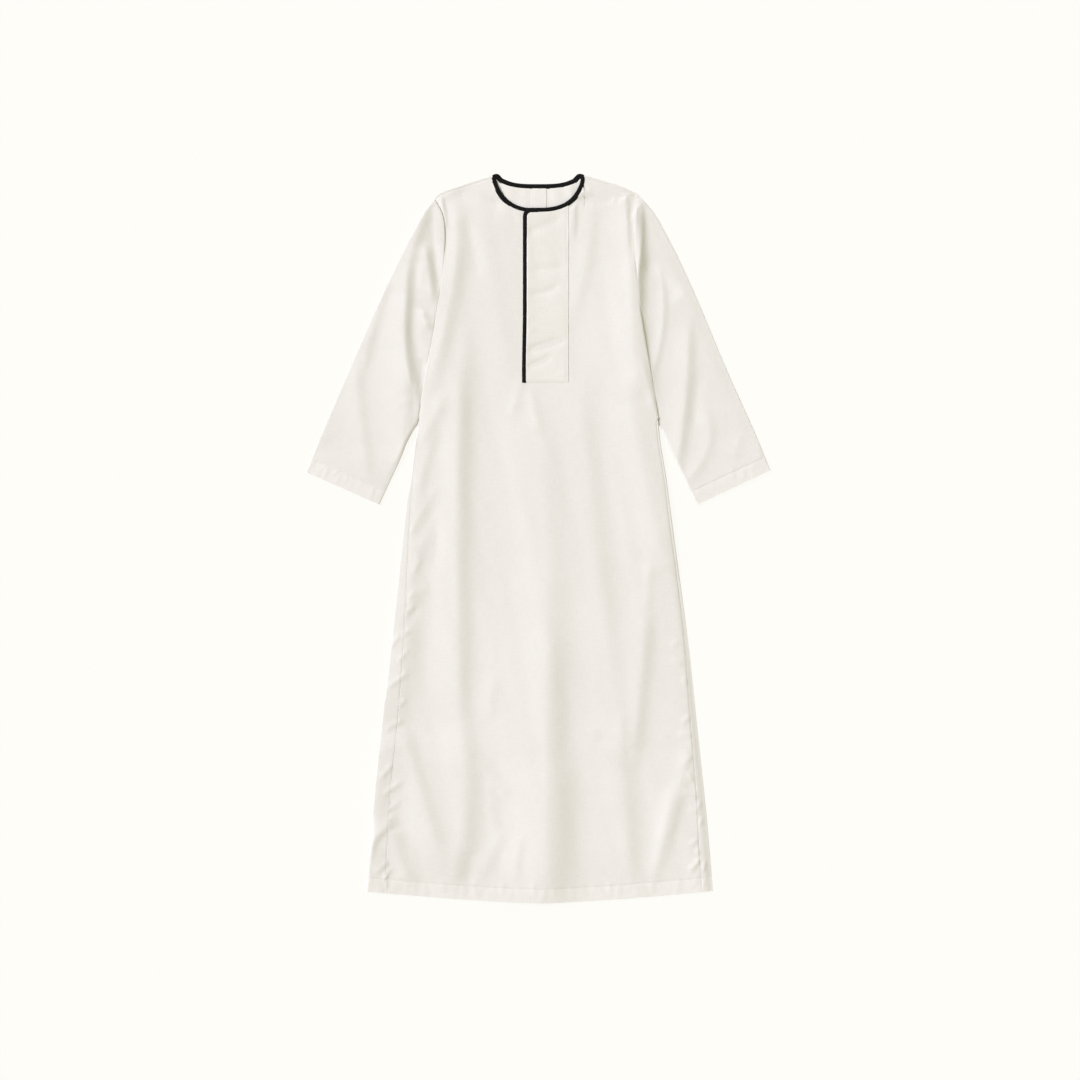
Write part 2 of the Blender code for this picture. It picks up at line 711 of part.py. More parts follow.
def back_neck_strip(surface, collection):
    """A narrow strip of the same cloth, lying on the inside of the back below the binding."""
    columns = spread(STRIP_LEFT, STRIP_RIGHT, 4) + [STRIP_RIGHT]
    grid = []
    for i in range(6):
        row = []
        for x in columns:
            high = back_edge_y(x) - GAP
            y = STRIP_FOOT_Y + (high - STRIP_FOOT_Y) * i / 5
            row.append((x, y, WALL + GAP + STRIP_WALL))
        grid.append(row)
    return sheet("back_neck_strip", grid, set(), surface, collection, wall=STRIP_WALL)


def tape_drift(y):
    """How far the upright binding lies to the right of its foot."""
    return TAPE_DRIFT * smooth((y - PLACKET_FOOT_Y - 20.0) / 130.0)


def binding_path(folds):
    """Middle line of the binding as (x, y, height of its underside).

    It starts under the placket's corner, goes up the left of the front neckline, turns at the
    shoulder to run round the back, turns again, comes down the right, and rounds the corner of
    the placket to go down its free edge.
    """
    path = []
    for i in range(13):
        angle = math.radians(17.0 + (90.0 - 17.0) * i / 12)
        x, y = neck_point("left", angle)
        path.append((x, y, front_height(x, y, folds) - WALL - GAP))
    shoulder = path[-1][2]
    for i in range(1, 7):
        angle = math.radians(180.0 - NECK_TURN * i / 6)
        x = -NECK_HALF + NECK_BEND + NECK_BEND * math.cos(angle)
        y = NECK_TOP + NECK_BEND * math.sin(angle)
        path.append((x, y, shoulder * (1.0 - smooth(i / 5))))
    for i in range(15):
        x = BACK_RUN * (i / 7 - 1.0)
        path.append((x, back_neck_y(x), 0.0))
    for i in range(6):
        angle = math.radians(NECK_TURN * (6 - i) / 6)
        x = NECK_HALF - NECK_BEND - NECK_BEND * math.cos(math.pi - angle)
        y = NECK_TOP + NECK_BEND * math.sin(angle)
        path.append((x, y, shoulder * (1.0 - smooth((6 - i) / 5))))
    turn_y = neck_point("right", 0.0)[1] - PLACKET_TURN
    for i in range(12):
        angle = math.radians(90.0 - 90.0 * i / 12)
        x, y = neck_point("right", angle)
        over = -WALL - GAP + 1.1 * smooth((75.0 - x) / 20.0) + 1.5 * smooth((14.0 - x) / 20.0)
        path.append((x, y, front_height(x, y, folds) + over))
    for i in range(7):
        angle = math.radians(90.0 + 90.0 * i / 6)
        x = PLACKET_TURN_X + (PLACKET_TURN - TAPE_DRIFT) * math.cos(angle)
        y = turn_y + PLACKET_TURN * math.sin(angle)
        path.append((x, y, front_height(x, y, folds) + 1.1))
    rows = 12
    for i in range(1, rows + 1):
        y = turn_y + (PLACKET_FOOT_Y - turn_y) * i / rows
        over = GAP + 0.15 + 0.65 * (1.0 - smooth((i - 0.5) / 2))
        x = PLACKET_TAPE_X + tape_drift(y)
        path.append((x, y, front_height(x, y, folds) + over))
    return path


def binding(folds, surface, collection):
    """A folded strip with rounded upper edges along the binding's path."""
    profile = [(side * TAPE_WIDTH, up * TAPE_THICK) for side, up in TAPE_PROFILE]
    path = binding_path(folds)
    mesh = bpy.data.meshes.new("neck_binding")
    shape = bmesh.new()
    rings = []
    for i, (x, y, z) in enumerate(path):
        before, after = path[max(i - 1, 0)], path[min(i + 1, len(path) - 1)]
        run_x, run_y = after[0] - before[0], after[1] - before[1]
        length = math.hypot(run_x, run_y)
        across = (run_y / length, -run_x / length)
        ring = []
        for out, up in profile:
            point = (x + across[0] * out, y + across[1] * out, z + up)
            ring.append(shape.verts.new([c * MM for c in point]))
        rings.append(ring)
    for first, second in zip(rings, rings[1:]):
        for k, corner in enumerate(first):
            m = (k + 1) % len(first)
            shape.faces.new((corner, first[m], second[m], second[k]))
    shape.faces.new(list(reversed(rings[0])))
    shape.faces.new(rings[-1])
    bmesh.ops.recalc_face_normals(shape, faces=shape.faces)
    shape.to_mesh(mesh)
    shape.free()
    mesh.shade_smooth()
    mesh.set_sharp_from_angle(angle=math.radians(50.0))
    mesh.materials.append(surface)
    return link(bpy.data.objects.new("neck_binding", mesh), collection)


def build():
    clear_scene()
    robe = bpy.data.collections.new("thobe_robe")
    bpy.context.scene.collection.children.link(robe)
    body = prepared(BODY_FOLDS)
    front_panel(body, material("front_cloth", CLOTH, 0.85), robe)
    back_panel(body, material("back_cloth", CLOTH, 0.85), robe)
    for side, folds in SLEEVE_FOLDS.items():
        name = f"sleeve_{side}"
        cloth = material(name + "_cloth", CLOTH, 0.85)
        sleeve(name, side, prepared(folds), body, cloth, robe)
    placket(body, material("placket_cloth", CLOTH_SHADE, 0.8), robe)
    back_neck_strip(material("strip_cloth", CLOTH, 0.85), robe)
    binding(body, material("binding_cloth", TAPE_BLACK, 0.6), robe)


build()
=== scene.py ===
"""The looks of a long thobe robe laid flat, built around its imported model.

Each cut piece is a thin shell on its solid's form, with finer folds, puckers, turned edges and
stitches. Sizes are in millimetres and become metres as each mesh is made. X runs from sleeve to
sleeve, Y from hem to neck and Z up from the floor.
"""

import math

import bpy
import numpy as np
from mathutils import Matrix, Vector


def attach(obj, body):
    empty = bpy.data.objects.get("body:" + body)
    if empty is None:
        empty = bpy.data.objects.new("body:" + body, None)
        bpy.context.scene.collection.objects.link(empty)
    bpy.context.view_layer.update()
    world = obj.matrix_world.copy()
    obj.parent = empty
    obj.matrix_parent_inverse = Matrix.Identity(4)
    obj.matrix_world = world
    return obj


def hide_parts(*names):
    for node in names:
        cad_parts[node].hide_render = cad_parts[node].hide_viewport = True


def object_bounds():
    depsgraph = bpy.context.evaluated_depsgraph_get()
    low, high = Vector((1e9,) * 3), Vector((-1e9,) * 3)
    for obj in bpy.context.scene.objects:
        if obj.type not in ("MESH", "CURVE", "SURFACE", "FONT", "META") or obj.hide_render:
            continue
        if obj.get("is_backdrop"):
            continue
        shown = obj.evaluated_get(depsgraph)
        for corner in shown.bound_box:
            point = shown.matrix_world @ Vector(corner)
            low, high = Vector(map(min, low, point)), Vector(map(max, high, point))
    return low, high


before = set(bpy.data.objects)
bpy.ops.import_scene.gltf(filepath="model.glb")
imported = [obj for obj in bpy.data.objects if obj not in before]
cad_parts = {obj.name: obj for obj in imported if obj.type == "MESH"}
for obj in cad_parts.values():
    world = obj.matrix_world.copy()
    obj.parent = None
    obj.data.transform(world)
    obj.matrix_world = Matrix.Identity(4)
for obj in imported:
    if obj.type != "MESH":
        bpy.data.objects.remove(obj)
CAD_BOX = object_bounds()

MM = 0.001


def table(names, *rows):
    """Columns of numbers by their names. The first holds the keys that the others are read at."""
    return dict(zip(names.split(), np.array(rows, float).T))


# --- Sizes shared with the model's solids ---

WALL = 1  # cloth
GAP = 0.3  # between layers
EDGE = 3  # over a folded edge: two walls and the air between them
ROLL = EDGE / 2
LOFT = 2.4  # above the folded edges
LOFT_REACH = 45  # over which the body rises to it from the shoulders
LEAST = 1.4  # lowest that the upper layer comes at a seam
SEAM_TURN = 0.6  # how far a seam's edge turns down past the cloth beside it
EDGE_FALL = {"left": 4.5, "right": 16}  # how near its right-hand folded edge a sleeve comes down
EDGE_FALL_SHARE = {"left": 0.3, "right": 0.5}

HEM_Y = -677
HEM_SAG = 23
HEM_HALF = 333
HEM_POWER = 1.45
ARMPIT_Y = 222
SHOULDER_TIP_Y = 651.5

NECK_HALF = 84.5
NECK_TOP = 692
NECK_BEND = 4
NECK_POWERS = {"left": 2.1, "right": 2.5}
NECK_PULL = table(
    "angle out",
    (0, 0.6), (15, 1.7), (28, 2), (40, 1.5), (50, 0.7), (63, -0.3), (77, -0.8), (90, 0),
)
BACK_NECK_Y = 676.1
BACK_NECK_HALF = 81.5
BACK_NECK_RISE = 17.6
BACK_NECK_POWER = 3.3
FRONT_NECK_DEPTH = 61.5
TAPE_WIDTH = 7
TAPE_THICK = 1.7
TAPE_SHOWN = 8  # its edges press into the cloth beside it
TAPE_DRIFT = 1.65  # the upper part of the placket's tape lies this far to the right
NECK_SWELL = 0.9  # how much wider the tape lies round the neck
SIDE_SWELL = 1  # and wider still at the sides of the neck
BACK_SWELL = 0.7  # and round the back
NECK_TURN = 122
TIP_OUT = {"left": 0.9, "right": 1.9}  # the tape's tips reach past the neckline's ends
BACK_RUN = 72

PLACKET_FOOT_Y = 299
PLACKET_TAPE_X = -27.1
PLACKET_TURN = 13
PLACKET_TURN_X = PLACKET_TAPE_X + PLACKET_TURN
PLACKET_RIGHT = 58
SLIT_LEFT = -14.8
SLIT_RIGHT = -13.2

STRIP_LEFT = -12.8
STRIP_RIGHT = 15.9
STRIP_FOOT_Y = 596
STRIP_WALL = 0.85

SIDES = table(
    "y left right",
    (-720, -334, 338.5), (-677, -330.7, 335.5), (-540, -319, 324), (-368, -301.9, 306),
    (-195, -282.8, 287.5), (-22, -263.5, 264.5), (64, -253.9, 253), (122, -244.3, 245.3),
    (180, -237.4, 235.7), (222, -231, 231), (289, -221.3, 221.8), (372, -205.9, 206.6),
    (443, -194.2, 195.4), (482, -187, 192.4), (520, -182, 187.8), (558, -179.8, 184.6),
    (598, -180.2, 183.2), (620, -183.5, 186.6), (636, -190, 191.6), (652, -199.8, 200.6),
)
SEAMS = table(
    "y left right",
    (-720, -297.5, 318.5), (-606, -290.4, 309.5), (-499, -284.6, 304), (-339, -269, 291.4),
    (-158, -256, 277), (34, -247, 251.5), (122, -239.6, 240.6), (180, -232.8, 231.1),
    (222, -226.6, 226.6),
)
SHOULDERS = table(
    "out left right",
    (80, 698.6, 700), (116, 688.2, 690), (162, 673, 675.4), (183, 665.4, 666), (193, 659.4, 660.4),
    (201, 651, 651),
)
SLEEVE_COLUMNS = "along outer_x outer_y inner_x inner_y"
SLEEVES = {
    "left": table(
        SLEEVE_COLUMNS,
        (0, -200.2, 651.7, -232.2, 218.5), (0.06, -219.4, 627, -238.6, 209.5),
        (0.15, -244.3, 582.8, -246, 196), (0.27, -273.1, 525.2, -253.9, 179.6),
        (0.44, -313.4, 438.8, -265.4, 150.8), (0.65, -363.4, 323.6, -279.8, 120),
        (0.84, -413.3, 208.4, -293.5, 90.5), (1, -445.9, 127.8, -305.2, 65.2),
    ),
    "right": table(
        SLEEVE_COLUMNS,
        (0, 201, 651.2, 232.2, 218.5), (0.06, 222.2, 627, 238.6, 209.5), (0.15, 247.2, 582.8, 245, 196),
        (0.27, 276, 525.2, 251, 179.6), (0.44, 314.4, 438.8, 264.5, 150.8),
        (0.65, 362.4, 323.6, 279, 120), (0.84, 414.2, 208.4, 292.8, 90.5),
        (1, 445.9, 131.6, 305.4, 65.2),
    ),
}
SIGN = {"left": -1, "right": 1}

FOLD_STEPS = 10
FOLD_REACH = 2.7  # widths past which a fold adds nothing
FOLD_FADE = 0.25  # share of its length over which a fold rises at each end
FOLD_POWERS = {"left": 1.4, "right": 2}  # a sharper crest on the left, a rounder one on the right


# --- Outline ---


def smooth(value):
    """0 below 0, 1 above 1 and an S-curve between."""
    value = np.clip(value, 0, 1)
    return value * value * (3 - 2 * value)


def read(columns, name, at):
    """One column of a table, read at a key with a smooth curve through the rows."""
    keys, values = next(iter(columns.values())), columns[name]
    run, rise = (np.pad(v, 1, "edge")[2:] - np.pad(v, 1, "edge")[:-2] for v in (keys, values))
    slopes = rise / run
    at = np.clip(at, keys[0], keys[-1])
    i = np.clip(np.searchsorted(keys, at, side="right") - 1, 0, len(keys) - 2)
    span = keys[i + 1] - keys[i]
    t = (at - keys[i]) / span
    bend = span * t * (1 - t) * (slopes[i] * (1 - t) - slopes[i + 1] * t)
    return values[i] * (1 - smooth(t)) + values[i + 1] * smooth(t) + bend


def bell(value):
    return np.exp(-(value**2))


def side_x(y, side):
    return read(SIDES, side, y)


def seam_x(y, side):
    """Edge of the front: the side seam up to the armpit, the armhole seam above it."""
    seam = read(SEAMS, side, y)
    return seam + (side_x(y, side) - seam) * smooth((y - ARMPIT_Y) / 12)


def hem_y(x):
    return HEM_Y - HEM_SAG * (1 - np.minimum(abs(x) / HEM_HALF, 1) ** HEM_POWER)


def shoulder_y(x):
    left, right = (read(SHOULDERS, side, abs(x)) for side in SIGN)
    return np.where(np.asarray(x) < 0, left, right)


def neck_point(side, angle, out=0):
    """A point of the front neckline, moved out from the opening, at an angle from the middle."""
    if side == "left":
        out = out + read(NECK_PULL, "out", np.degrees(angle))
    power = 2 / NECK_POWERS[side]
    x = NECK_HALF * np.sin(angle) ** power
    y = NECK_TOP - FRONT_NECK_DEPTH * np.cos(angle)
    run = NECK_HALF * power * np.maximum(np.sin(angle), 0.02) ** (power - 1) * np.cos(angle)
    rise = FRONT_NECK_DEPTH * np.sin(angle)
    length = np.hypot(run, rise)
    return SIGN[side] * (x + out * rise / length), y - out * run / length


def neck_edge_y(x, clear):
    """Height up the page of the front neckline's cloth, at a distance clear of its middle line."""
    angles = np.linspace(0, math.pi / 2, 200)
    sides = []
    for side in SIGN:
        out_x, out_y = neck_point(side, angles, clear)
        order = np.argsort(abs(out_x))
        sides.append(np.interp(abs(x), abs(out_x)[order], out_y[order]))
    return np.where(np.asarray(x) < 0, *sides)


def back_neck_y(x):
    return BACK_NECK_Y + BACK_NECK_RISE * abs(x / BACK_NECK_HALF) ** BACK_NECK_POWER


def back_edge_y(x, clear):
    share = abs(x) / BACK_NECK_HALF
    slope = BACK_NECK_POWER * BACK_NECK_RISE * share ** (BACK_NECK_POWER - 1) / BACK_NECK_HALF
    return back_neck_y(x) - clear * np.hypot(1, slope)


def edge_point(side, edge, along):
    """Points of a sleeve's outer or inner edge, at shares of the way to its cuff."""
    return stacked(*(read(SLEEVES[side], f"{edge}_{axis}", along) for axis in "xy"))


def both_edges(side, outer_at, inner_at=None):
    inner_at = outer_at if inner_at is None else inner_at
    return edge_point(side, "outer", outer_at), edge_point(side, "inner", inner_at)


def stacked(*parts):
    return np.stack(np.broadcast_arrays(*parts), axis=-1)


# --- Folds, puckers and seams in the upper layer ---

# Folds: the three points that the crest runs through, top to low, how far it falls away to the
# left and right, and its rise.
FOLDS = {
    "body": {
        "chest_left": (-172, 656, -161, 515, -226, 234, 29, 18, 4.3),
        "waist_left": (-145, 444, -158, 10, -145, -473, 56, 24, 7.5),
        "skirt_left": (-153, -341, -146, -528, -183, -696, 130, 33, 8.5),
        "side_left": (-231, 235, -245, -60, -267, -381, 52, 25, 4.5),
        "centre_high": (-18, 284, 15, 25, 9, -183, 76, 35, 4.5),
        "centre": (20, -24, 14, -452, 17, -744, 95, 37, 10.8),
        "centre_low": (50, -410, 40, -554, 41, -755, 59, 32, 3.7),
        "waist_right": (79, 370, 101, 60, 153, -344, 70, 28, 4.2),
        "edge_right": (167, 314, 201, 133, 262, -123, 43, 50, 7.1),
        "hip_right": (207, -95, 191, -296, 173, -454, 98, 19, 5.5),
        "skirt_right": (148, -347, 164, -510, 172, -691, 69, 21, 3.3),
        "side_right": (259, -467, 241, -563, 215, -676, 15, 15, 3.1),
        "side_right_low": (287, -401, 270, -483, 239, -618, 19, 12, 2.2),
        "hip_left": (-270, -355, -234, -466, -179, -662, 130, 19, 5.2),
        "shoulder_right": (166, 656, 169, 629, 173, 527, 44, 5.9, 3.1),
        "armhole_right": (176, 596, 180, 393, 202, 262, 45, 31, 7.9),
        "neck_right": (97, 654, 96, 559, 52, 388, 25, 14, 1.6),
    },
    "left": {
        "upper": (-202, 648, -240, 568, -261, 458, 84, 13, 5.2),
        "elbow": (-245, 548, -257, 368, -225, 261, 39, 13, 7.9),
        "head": (-221, 572, -211, 510, -203, 444, 25, 11, 5.6),
        "lower_top": (-283, 508, -317, 412, -343, 297, 23, 11, 2.3),
        "lower": (-356, 355, -343, 236, -325, 85, 24, 14, 2.1),
        "underarm": (-232, 282, -256, 224, -249, 103, 37, 43, 5.5),
    },
    "right": {
        "head": (168, 688, 192, 553, 172, 407, 49, 13, 9.7),
        "head_low": (195, 501, 189, 388, 225, 239, 40, 17, 7.7),
        "upper": (224, 541, 239, 419, 204, 278, 10, 8.4, 1.8),
        "elbow": (285, 441, 282, 279, 254, 78, 23, 13, 3.8),
        "lower": (312, 262, 325, 176, 261, 88, 16, 11, 1.6),
    },
}
# Smaller creases, left to this script, in the same columns. Those of the placket run across it.
CREASES = {
    "body": (
        (-187, 660, -182, 626, -179, 590, 12, 3.9, 3.3), (93, 665, 89, 663, 58, 653, 8.5, 6.4, 3.6),
        (63, 634, 65, 621, 59, 560, 3, 7.8, 3.9), (-257, -539, -308, -568, -329, -631, 20, 7.5, 3.5),
        (-42, 631, -37, 618, -32, 602, 3, 3, 1.1), (-30, 316, -41, 275, -58, 224, 7.1, 10, 1),
        (-19, 294, -7, 243, 3, 195, 18, 11, 1.8), (-183, 287, -204, 226, -230, 181, 20, 16, 2.8),
        (-187, 214, -214, 157, -234, 68, 17, 11, 1.4), (193, 354, 212, 291, 223, 237, 9.2, 6.8, 1.5),
        (-275, -547, -272, -599, -233, -695, 27, 19, 4.8),
        (-70, -554, -86, -595, -118, -660, 19, 14, 1.9),
        (-34, -566, -39, -601, -46, -662, 21, 9.7, 1.6), (-80, -264, -92, -303, -90, -357, 24, 11, 1.2),
        (152, -332, 160, -358, 163, -384, 11, 6.8, 0.8), (275, -40, 239, -52, 198, -77, 7.9, 9.9, 0.5),
        (301, -379, 286, -406, 271, -444, 9.3, 9.9, 0.7),
    ),
    "left": (
        (-219, 438, -219, 425, -203, 397, 11, 7.3, 3.2),
    ),
    "right": (
        (194, 658, 198, 580, 187, 471, 3, 3.3, 1.9), (390, 205, 382, 179, 374, 147, 12, 9.2, 0.8),
        (417, 182, 423, 161, 410, 151, 8.4, 8.7, 0.6), (271, 146, 266, 135, 254, 130, 6, 6, 1.7),
        (284, 114, 275, 109, 270, 98, 6, 6, 1.6), (295, 97, 288, 94, 284, 86, 5, 5, 1.2),
    ),
    "placket": (
        (-24, 584, 8, 598, 56, 620, 10, 10, -1.5), (-20, 515, 20, 518, 58, 522, 10, 9, -1.2),
        (-24, 469, 12, 472, 46, 489, 7, 8, -1.5), (-26, 356, 12, 370, 62, 384, 8, 8, -2.2),
        (-25, 329, 2, 337, 30, 352, 7, 7, -1.7), (30, 310, 44, 314, 56, 318, 5, 5, 0.5),
        (-20, 560, -16, 552, -12, 540, 5, 5, 0.4), (-20, 428, -14, 424, -8, 424, 5, 5, 0.5),
        (-20, 398, -14, 398, -4, 400, 5, 5, 0.5),
    ),
}

# Puckers and small dents: middle, lean from the Y axis in degrees, length, width and height.
PUCKERS = {
    "body": (
        (184, 654, 11, 109, 7.8, -1.2), (-113, 651, -74, 119, 18.2, -2.9),
        (-129, 558, -13, 134, 18.8, -1.7), (-217, 61, 32, 108, 8.2, 0.8),
        (-218, 27, 34, 96, 13.4, -1.1), (-197, -9, 3, 122, 15.6, -1.3), (-233, -42, 17, 112, 13.6, 1),
        (210, -89, 2, 109, 14.7, 1.5), (-231, -106, 44, 65, 15.1, 1.3),
        (-245, -151, 33, 58, 13.2, -1.3), (149, -397, -60, 102, 15.2, -2.2),
        (-86, -462, -40, 113, 16.3, 1.8), (-91, -517, -7, 127, 17.3, 1.7),
        (-133, -630, 6, 74, 17.3, -1.8), (-103, -682, 14, 33, 5.2, -1.4),
    ),
    "side_seams": (
        (-232, -51, 27, 34, 6, 1.1), (-240, 18, 50, 14, 3.5, 1.1), (-242, -108, 49, 22, 4.5, 1.4),
        (-246, -137, 44, 30, 5, 1.7), (-253, -181, 58, 24, 4.5, 1.4), (-275, -197, 40, 36, 5, 1.6),
        (-253, -218, 60, 22, 4, 1.3), (-263, -231, 55, 20, 4.5, 1.4), (-269, -271, 53, 57, 5.5, 1.9),
        (-261, -316, 50, 22, 4.5, 1.6), (-276, -357, 62, 46, 5, 1.8), (-291, -446, 41, 41, 5.5, 1.8),
        (-279, -478, 55, 54, 5, 1.9), (-277, -513, 56, 35, 4.5, 1.6), (-282, -536, 60, 25, 4.5, 1.4),
        (-300, -630, 49, 38, 5, 1.8), (-290, -645, 35, 30, 4, 1.4),
        (263, -202, 60, 20, 5, 1.4), (267, -236, -60, 24, 5, 1.5), (282, -273, -40, 16, 4, 1.4),
        (284, -348, 55, 22, 4.5, 2), (283, -376, -75, 30, 5, 1.7), (289, -423, 40, 20, 5, 1.5),
        (292, -457, -20, 22, 6, 2), (292, -490, -68, 36, 5, 2.1), (309, -512, 50, 16, 4, 1.5),
        (299, -522, -85, 24, 4.5, 1.4), (313, -543, 45, 16, 4, 1.7), (298, -584, 60, 20, 4, 1.8),
        (307, -601, -40, 14, 4, 1.5), (301, -627, 43, 36, 4.5, 2.5), (319, -628, 10, 24, 4.5, 1.8),
    ),
    "left": (
        (-205, 607, -3, 109, 11.9, -1.6), (-197, 525, -8, 120, 13.4, -2.5),
        (-226, 502, 2, 65, 14.4, 1.5), (-235, 367, -18, 121, 14.6, -1.3),
        (-224, 316, 4, 71, 14.7, -1.9), (-241, 274, -2, 99, 8.9, -1),
    ),
    "right": (
        (206, 510, -55, 123, 16.8, -2.5), (235, 500, -43, 112, 20, -3.6),
        (302, 263, 6, 126, 15.3, -1.2),
    ),
}

# How far the body's edges stand up: over the sleeves beside the armholes, and in the roll of the
# cloth down both sides.
SWELLS = table(
    "y left left_width right right_width",
    (-720, 0.3, 34, -4.1, 9), (-600, 6.9, 36, -3.2, 9), (-400, 7, 38, -3.5, 9), (-200, 3, 38, -3.6, 9),
    (0, -0.7, 34, -1.1, 9), (120, -1.2, 30, -0.5, 9), (215, 2.2, 30, 1.6, 40), (250, 2.8, 30, 0.8, 40),
    (300, 1.8, 30, 1.8, 45), (400, -0.3, 30, 3.5, 45), (500, 0.9, 30, 1.7, 45),
    (590, -3.5, 30, 3.5, 45), (630, -2.9, 30, 2.5, 40), (655, 0.4, 30, -1.1, 40),
)

HEM_BAND = 27  # turned hem, from its fold to its stitches
CUFF_BAND = 27
SHARED_REACH = 45  # of the body's folds into the sleeve
BAND_RISE = -0.3  # a turned edge is pressed flatter than the cloth beside it
BAND_EDGE = 2  # over which it comes back up
STITCH_DIP = 0.25  # depth of the line that stitches pull in
SEAM_DIP = 0.32
ARMHOLE_DIP = 0.45
DIP_WIDTH = 1.5
TOPSTITCH = 2  # from a seam or an edge to its stitches
SHOULDER_STITCH = 4.5


def fold_rise(x, y, folds):
    """Height that the folds add: soft ridges, or troughs where the rise is negative."""
    total = np.zeros_like(x)
    t = np.linspace(0, 1, FOLD_STEPS + 1)
    weights = ((1 - t) * (1 - 2 * t), 4 * t * (1 - t), t * (2 * t - 1))
    for *points, left, right, rise in folds:
        # The crest is a parabola through the three points, here as complex numbers.
        crest = sum(w * complex(*points[2 * k : 2 * k + 2]) for k, w in enumerate(weights))
        reach = FOLD_REACH * max(left, right)
        near = (x > crest.real.min() - reach) & (x < crest.real.max() + reach)
        near &= (y > crest.imag.min() - reach) & (y < crest.imag.max() + reach)
        if not near.any():
            continue
        run = np.diff(crest)[:, None]
        from_start = x[near] + 1j * y[near] - crest[:-1, None]
        t = np.clip((from_start * run.conj()).real / abs(run) ** 2, 0, 1)
        off = from_start - t * run
        step = abs(off).argmin(axis=0)
        nearest = (step, np.arange(len(step)))
        along = (step + t[nearest]) / FOLD_STEPS
        on_right = (run.conj() * off).imag[nearest] > 0
        width = np.where(on_right, right, left)
        power = np.where(on_right, FOLD_POWERS["right"], FOLD_POWERS["left"])
        fade = smooth(along / FOLD_FADE) * smooth((1 - along) / FOLD_FADE)
        total[near] += rise * fade * np.exp(-((abs(off[nearest]) / width) ** power))
    return total


def pucker(x, y, lean, length, width, rise):
    """A short ridge centred on a point, in the form of a fold's row. Lean is from the Y axis."""
    half_x = 0.5 * length * math.sin(lean)
    half_y = 0.5 * length * math.cos(lean)
    return (x + half_x, y + half_y, x, y, x - half_x, y - half_y, width, width * 0.8, rise)


def placed_puckers(where):
    return [pucker(x, y, math.radians(lean), *sizes) for x, y, lean, *sizes in PUCKERS[where]]


# Small puckers in the turned hem and cuffs, and just above their stitches: what is drawn for each
# one, in this order, with its lowest and highest value.
HEM_DRAWS = {
    "lean": (-18, 18), "up": (11, 26), "rise": (0.25, 1.1),
    "length": (24, 42), "width": (3.6, 6), "step": (11, 23),
}
CUFF_DRAWS = {
    "up": (12, 26), "lean": (-18, 18), "length": (20, 34),
    "width": (3.2, 5), "rise": (0.15, 0.65), "step": (9, 19),
}
CUFF_SEEDS = {"left": 7, "right": 9}


def edge_puckers(seed, at, stop, draws, lean, place):
    """Puckers all along an edge. Place is a function of the distances along it and up from it."""
    rng = np.random.default_rng(seed)
    rows = []
    while at < stop:
        drawn = {name: rng.uniform(*ends) for name, ends in draws.items()}
        sizes = (drawn[name] for name in ("length", "width", "rise"))
        rows.append(pucker(*place(at, drawn["up"]), lean + math.radians(drawn["lean"]), *sizes))
        at += drawn["step"]
    return rows


def cuff_puckers(side):
    outer, inner = both_edges(side, 1)
    length = np.linalg.norm(inner - outer)
    unit = (inner - outer) / length
    up = np.array((unit[1], -unit[0])) * SIGN[side]
    place = lambda at, rise: outer + unit * at + up * rise
    return edge_puckers(CUFF_SEEDS[side], 6, length - 5, CUFF_DRAWS, math.atan2(*up), place)


RIDGES = {place: list(folds.values()) for place, folds in FOLDS.items()}
FINE = {place: [*CREASES[place], *placed_puckers(place)] for place in FOLDS}
FINE["body"] += edge_puckers(5, -322, 326, HEM_DRAWS, 0, lambda x, up: (x, float(hem_y(x)) + up))
FINE["body"] += placed_puckers("side_seams")
for sleeve in SIGN:
    FINE[sleeve] += cuff_puckers(sleeve)

# Waves across the cloth that no single fold makes: lengths across and along, phase and height.
WAVES = (
    (173, 910, 0.4, 0.4), (97, 640, 2.1, 0.27), (61, 415, 4, 0.13), (211, 270, 1.2, 0.24),
    (38, 190, 5.2, 0.07),
)


def waves(x, y):
    total = 0
    for across, along, phase, height in WAVES:
        bend = 0.8 * np.sin(y / (0.7 * along) + phase)
        total = total + height * np.sin(2 * math.pi * (x / across + y / along) + phase + bend)
    return total


def dip(distance, depth, width=DIP_WIDTH):
    """The trough that a seam or a row of stitches pulls into the cloth."""
    return -depth * bell(distance / width)


def band(from_edge, width):
    """1 in a turned edge and 0 past it."""
    return 1 - smooth((from_edge - width) / BAND_EDGE)


def body_height(x, y):
    """Upper face of the front, and of the back where it comes round to the front."""
    x, y = (np.array(v, float) for v in np.broadcast_arrays(x, y))
    inside = np.maximum(np.minimum(x - side_x(y, "left"), side_x(y, "right") - x), 0)
    past_neck = abs(x) - NECK_HALF
    to_corner = np.hypot(past_neck, np.maximum(shoulder_y(np.array(NECK_HALF)) - y, 0))
    below = np.where(past_neck > 0, np.maximum(shoulder_y(x) - y, 0), to_corner)
    height = EDGE + LOFT * smooth(below / LOFT_REACH)
    height += fold_rise(x, y, RIDGES["body"]) * smooth(below / 12)
    height += fold_rise(x, y, FINE["body"]) * smooth(inside / 5) * smooth(below / 8)
    height += waves(x, y) * smooth(inside / 30) * smooth(below / 30)
    for side in SIGN:
        away = x - side_x(y, side)
        width = read(SWELLS, side + "_width", y)
        height += read(SWELLS, side, y) * bell(away / width)
        height += dip(x - seam_x(y, side), np.where(y < ARMPIT_Y, SEAM_DIP, ARMHOLE_DIP))
    up_hem = y - hem_y(x)
    height += BAND_RISE * band(up_hem, HEM_BAND) + dip(up_hem - HEM_BAND, STITCH_DIP)
    # The shoulder comes down to its seam on the back.
    drop = (EDGE - 2 * WALL - GAP - 0.3) * smooth((past_neck - 6) / 24)
    height -= drop * (1 - smooth(below / 8))
    return height + smooth((past_neck - 4) / 8) * dip(below - SHOULDER_STITCH, 0.5, 1.3)


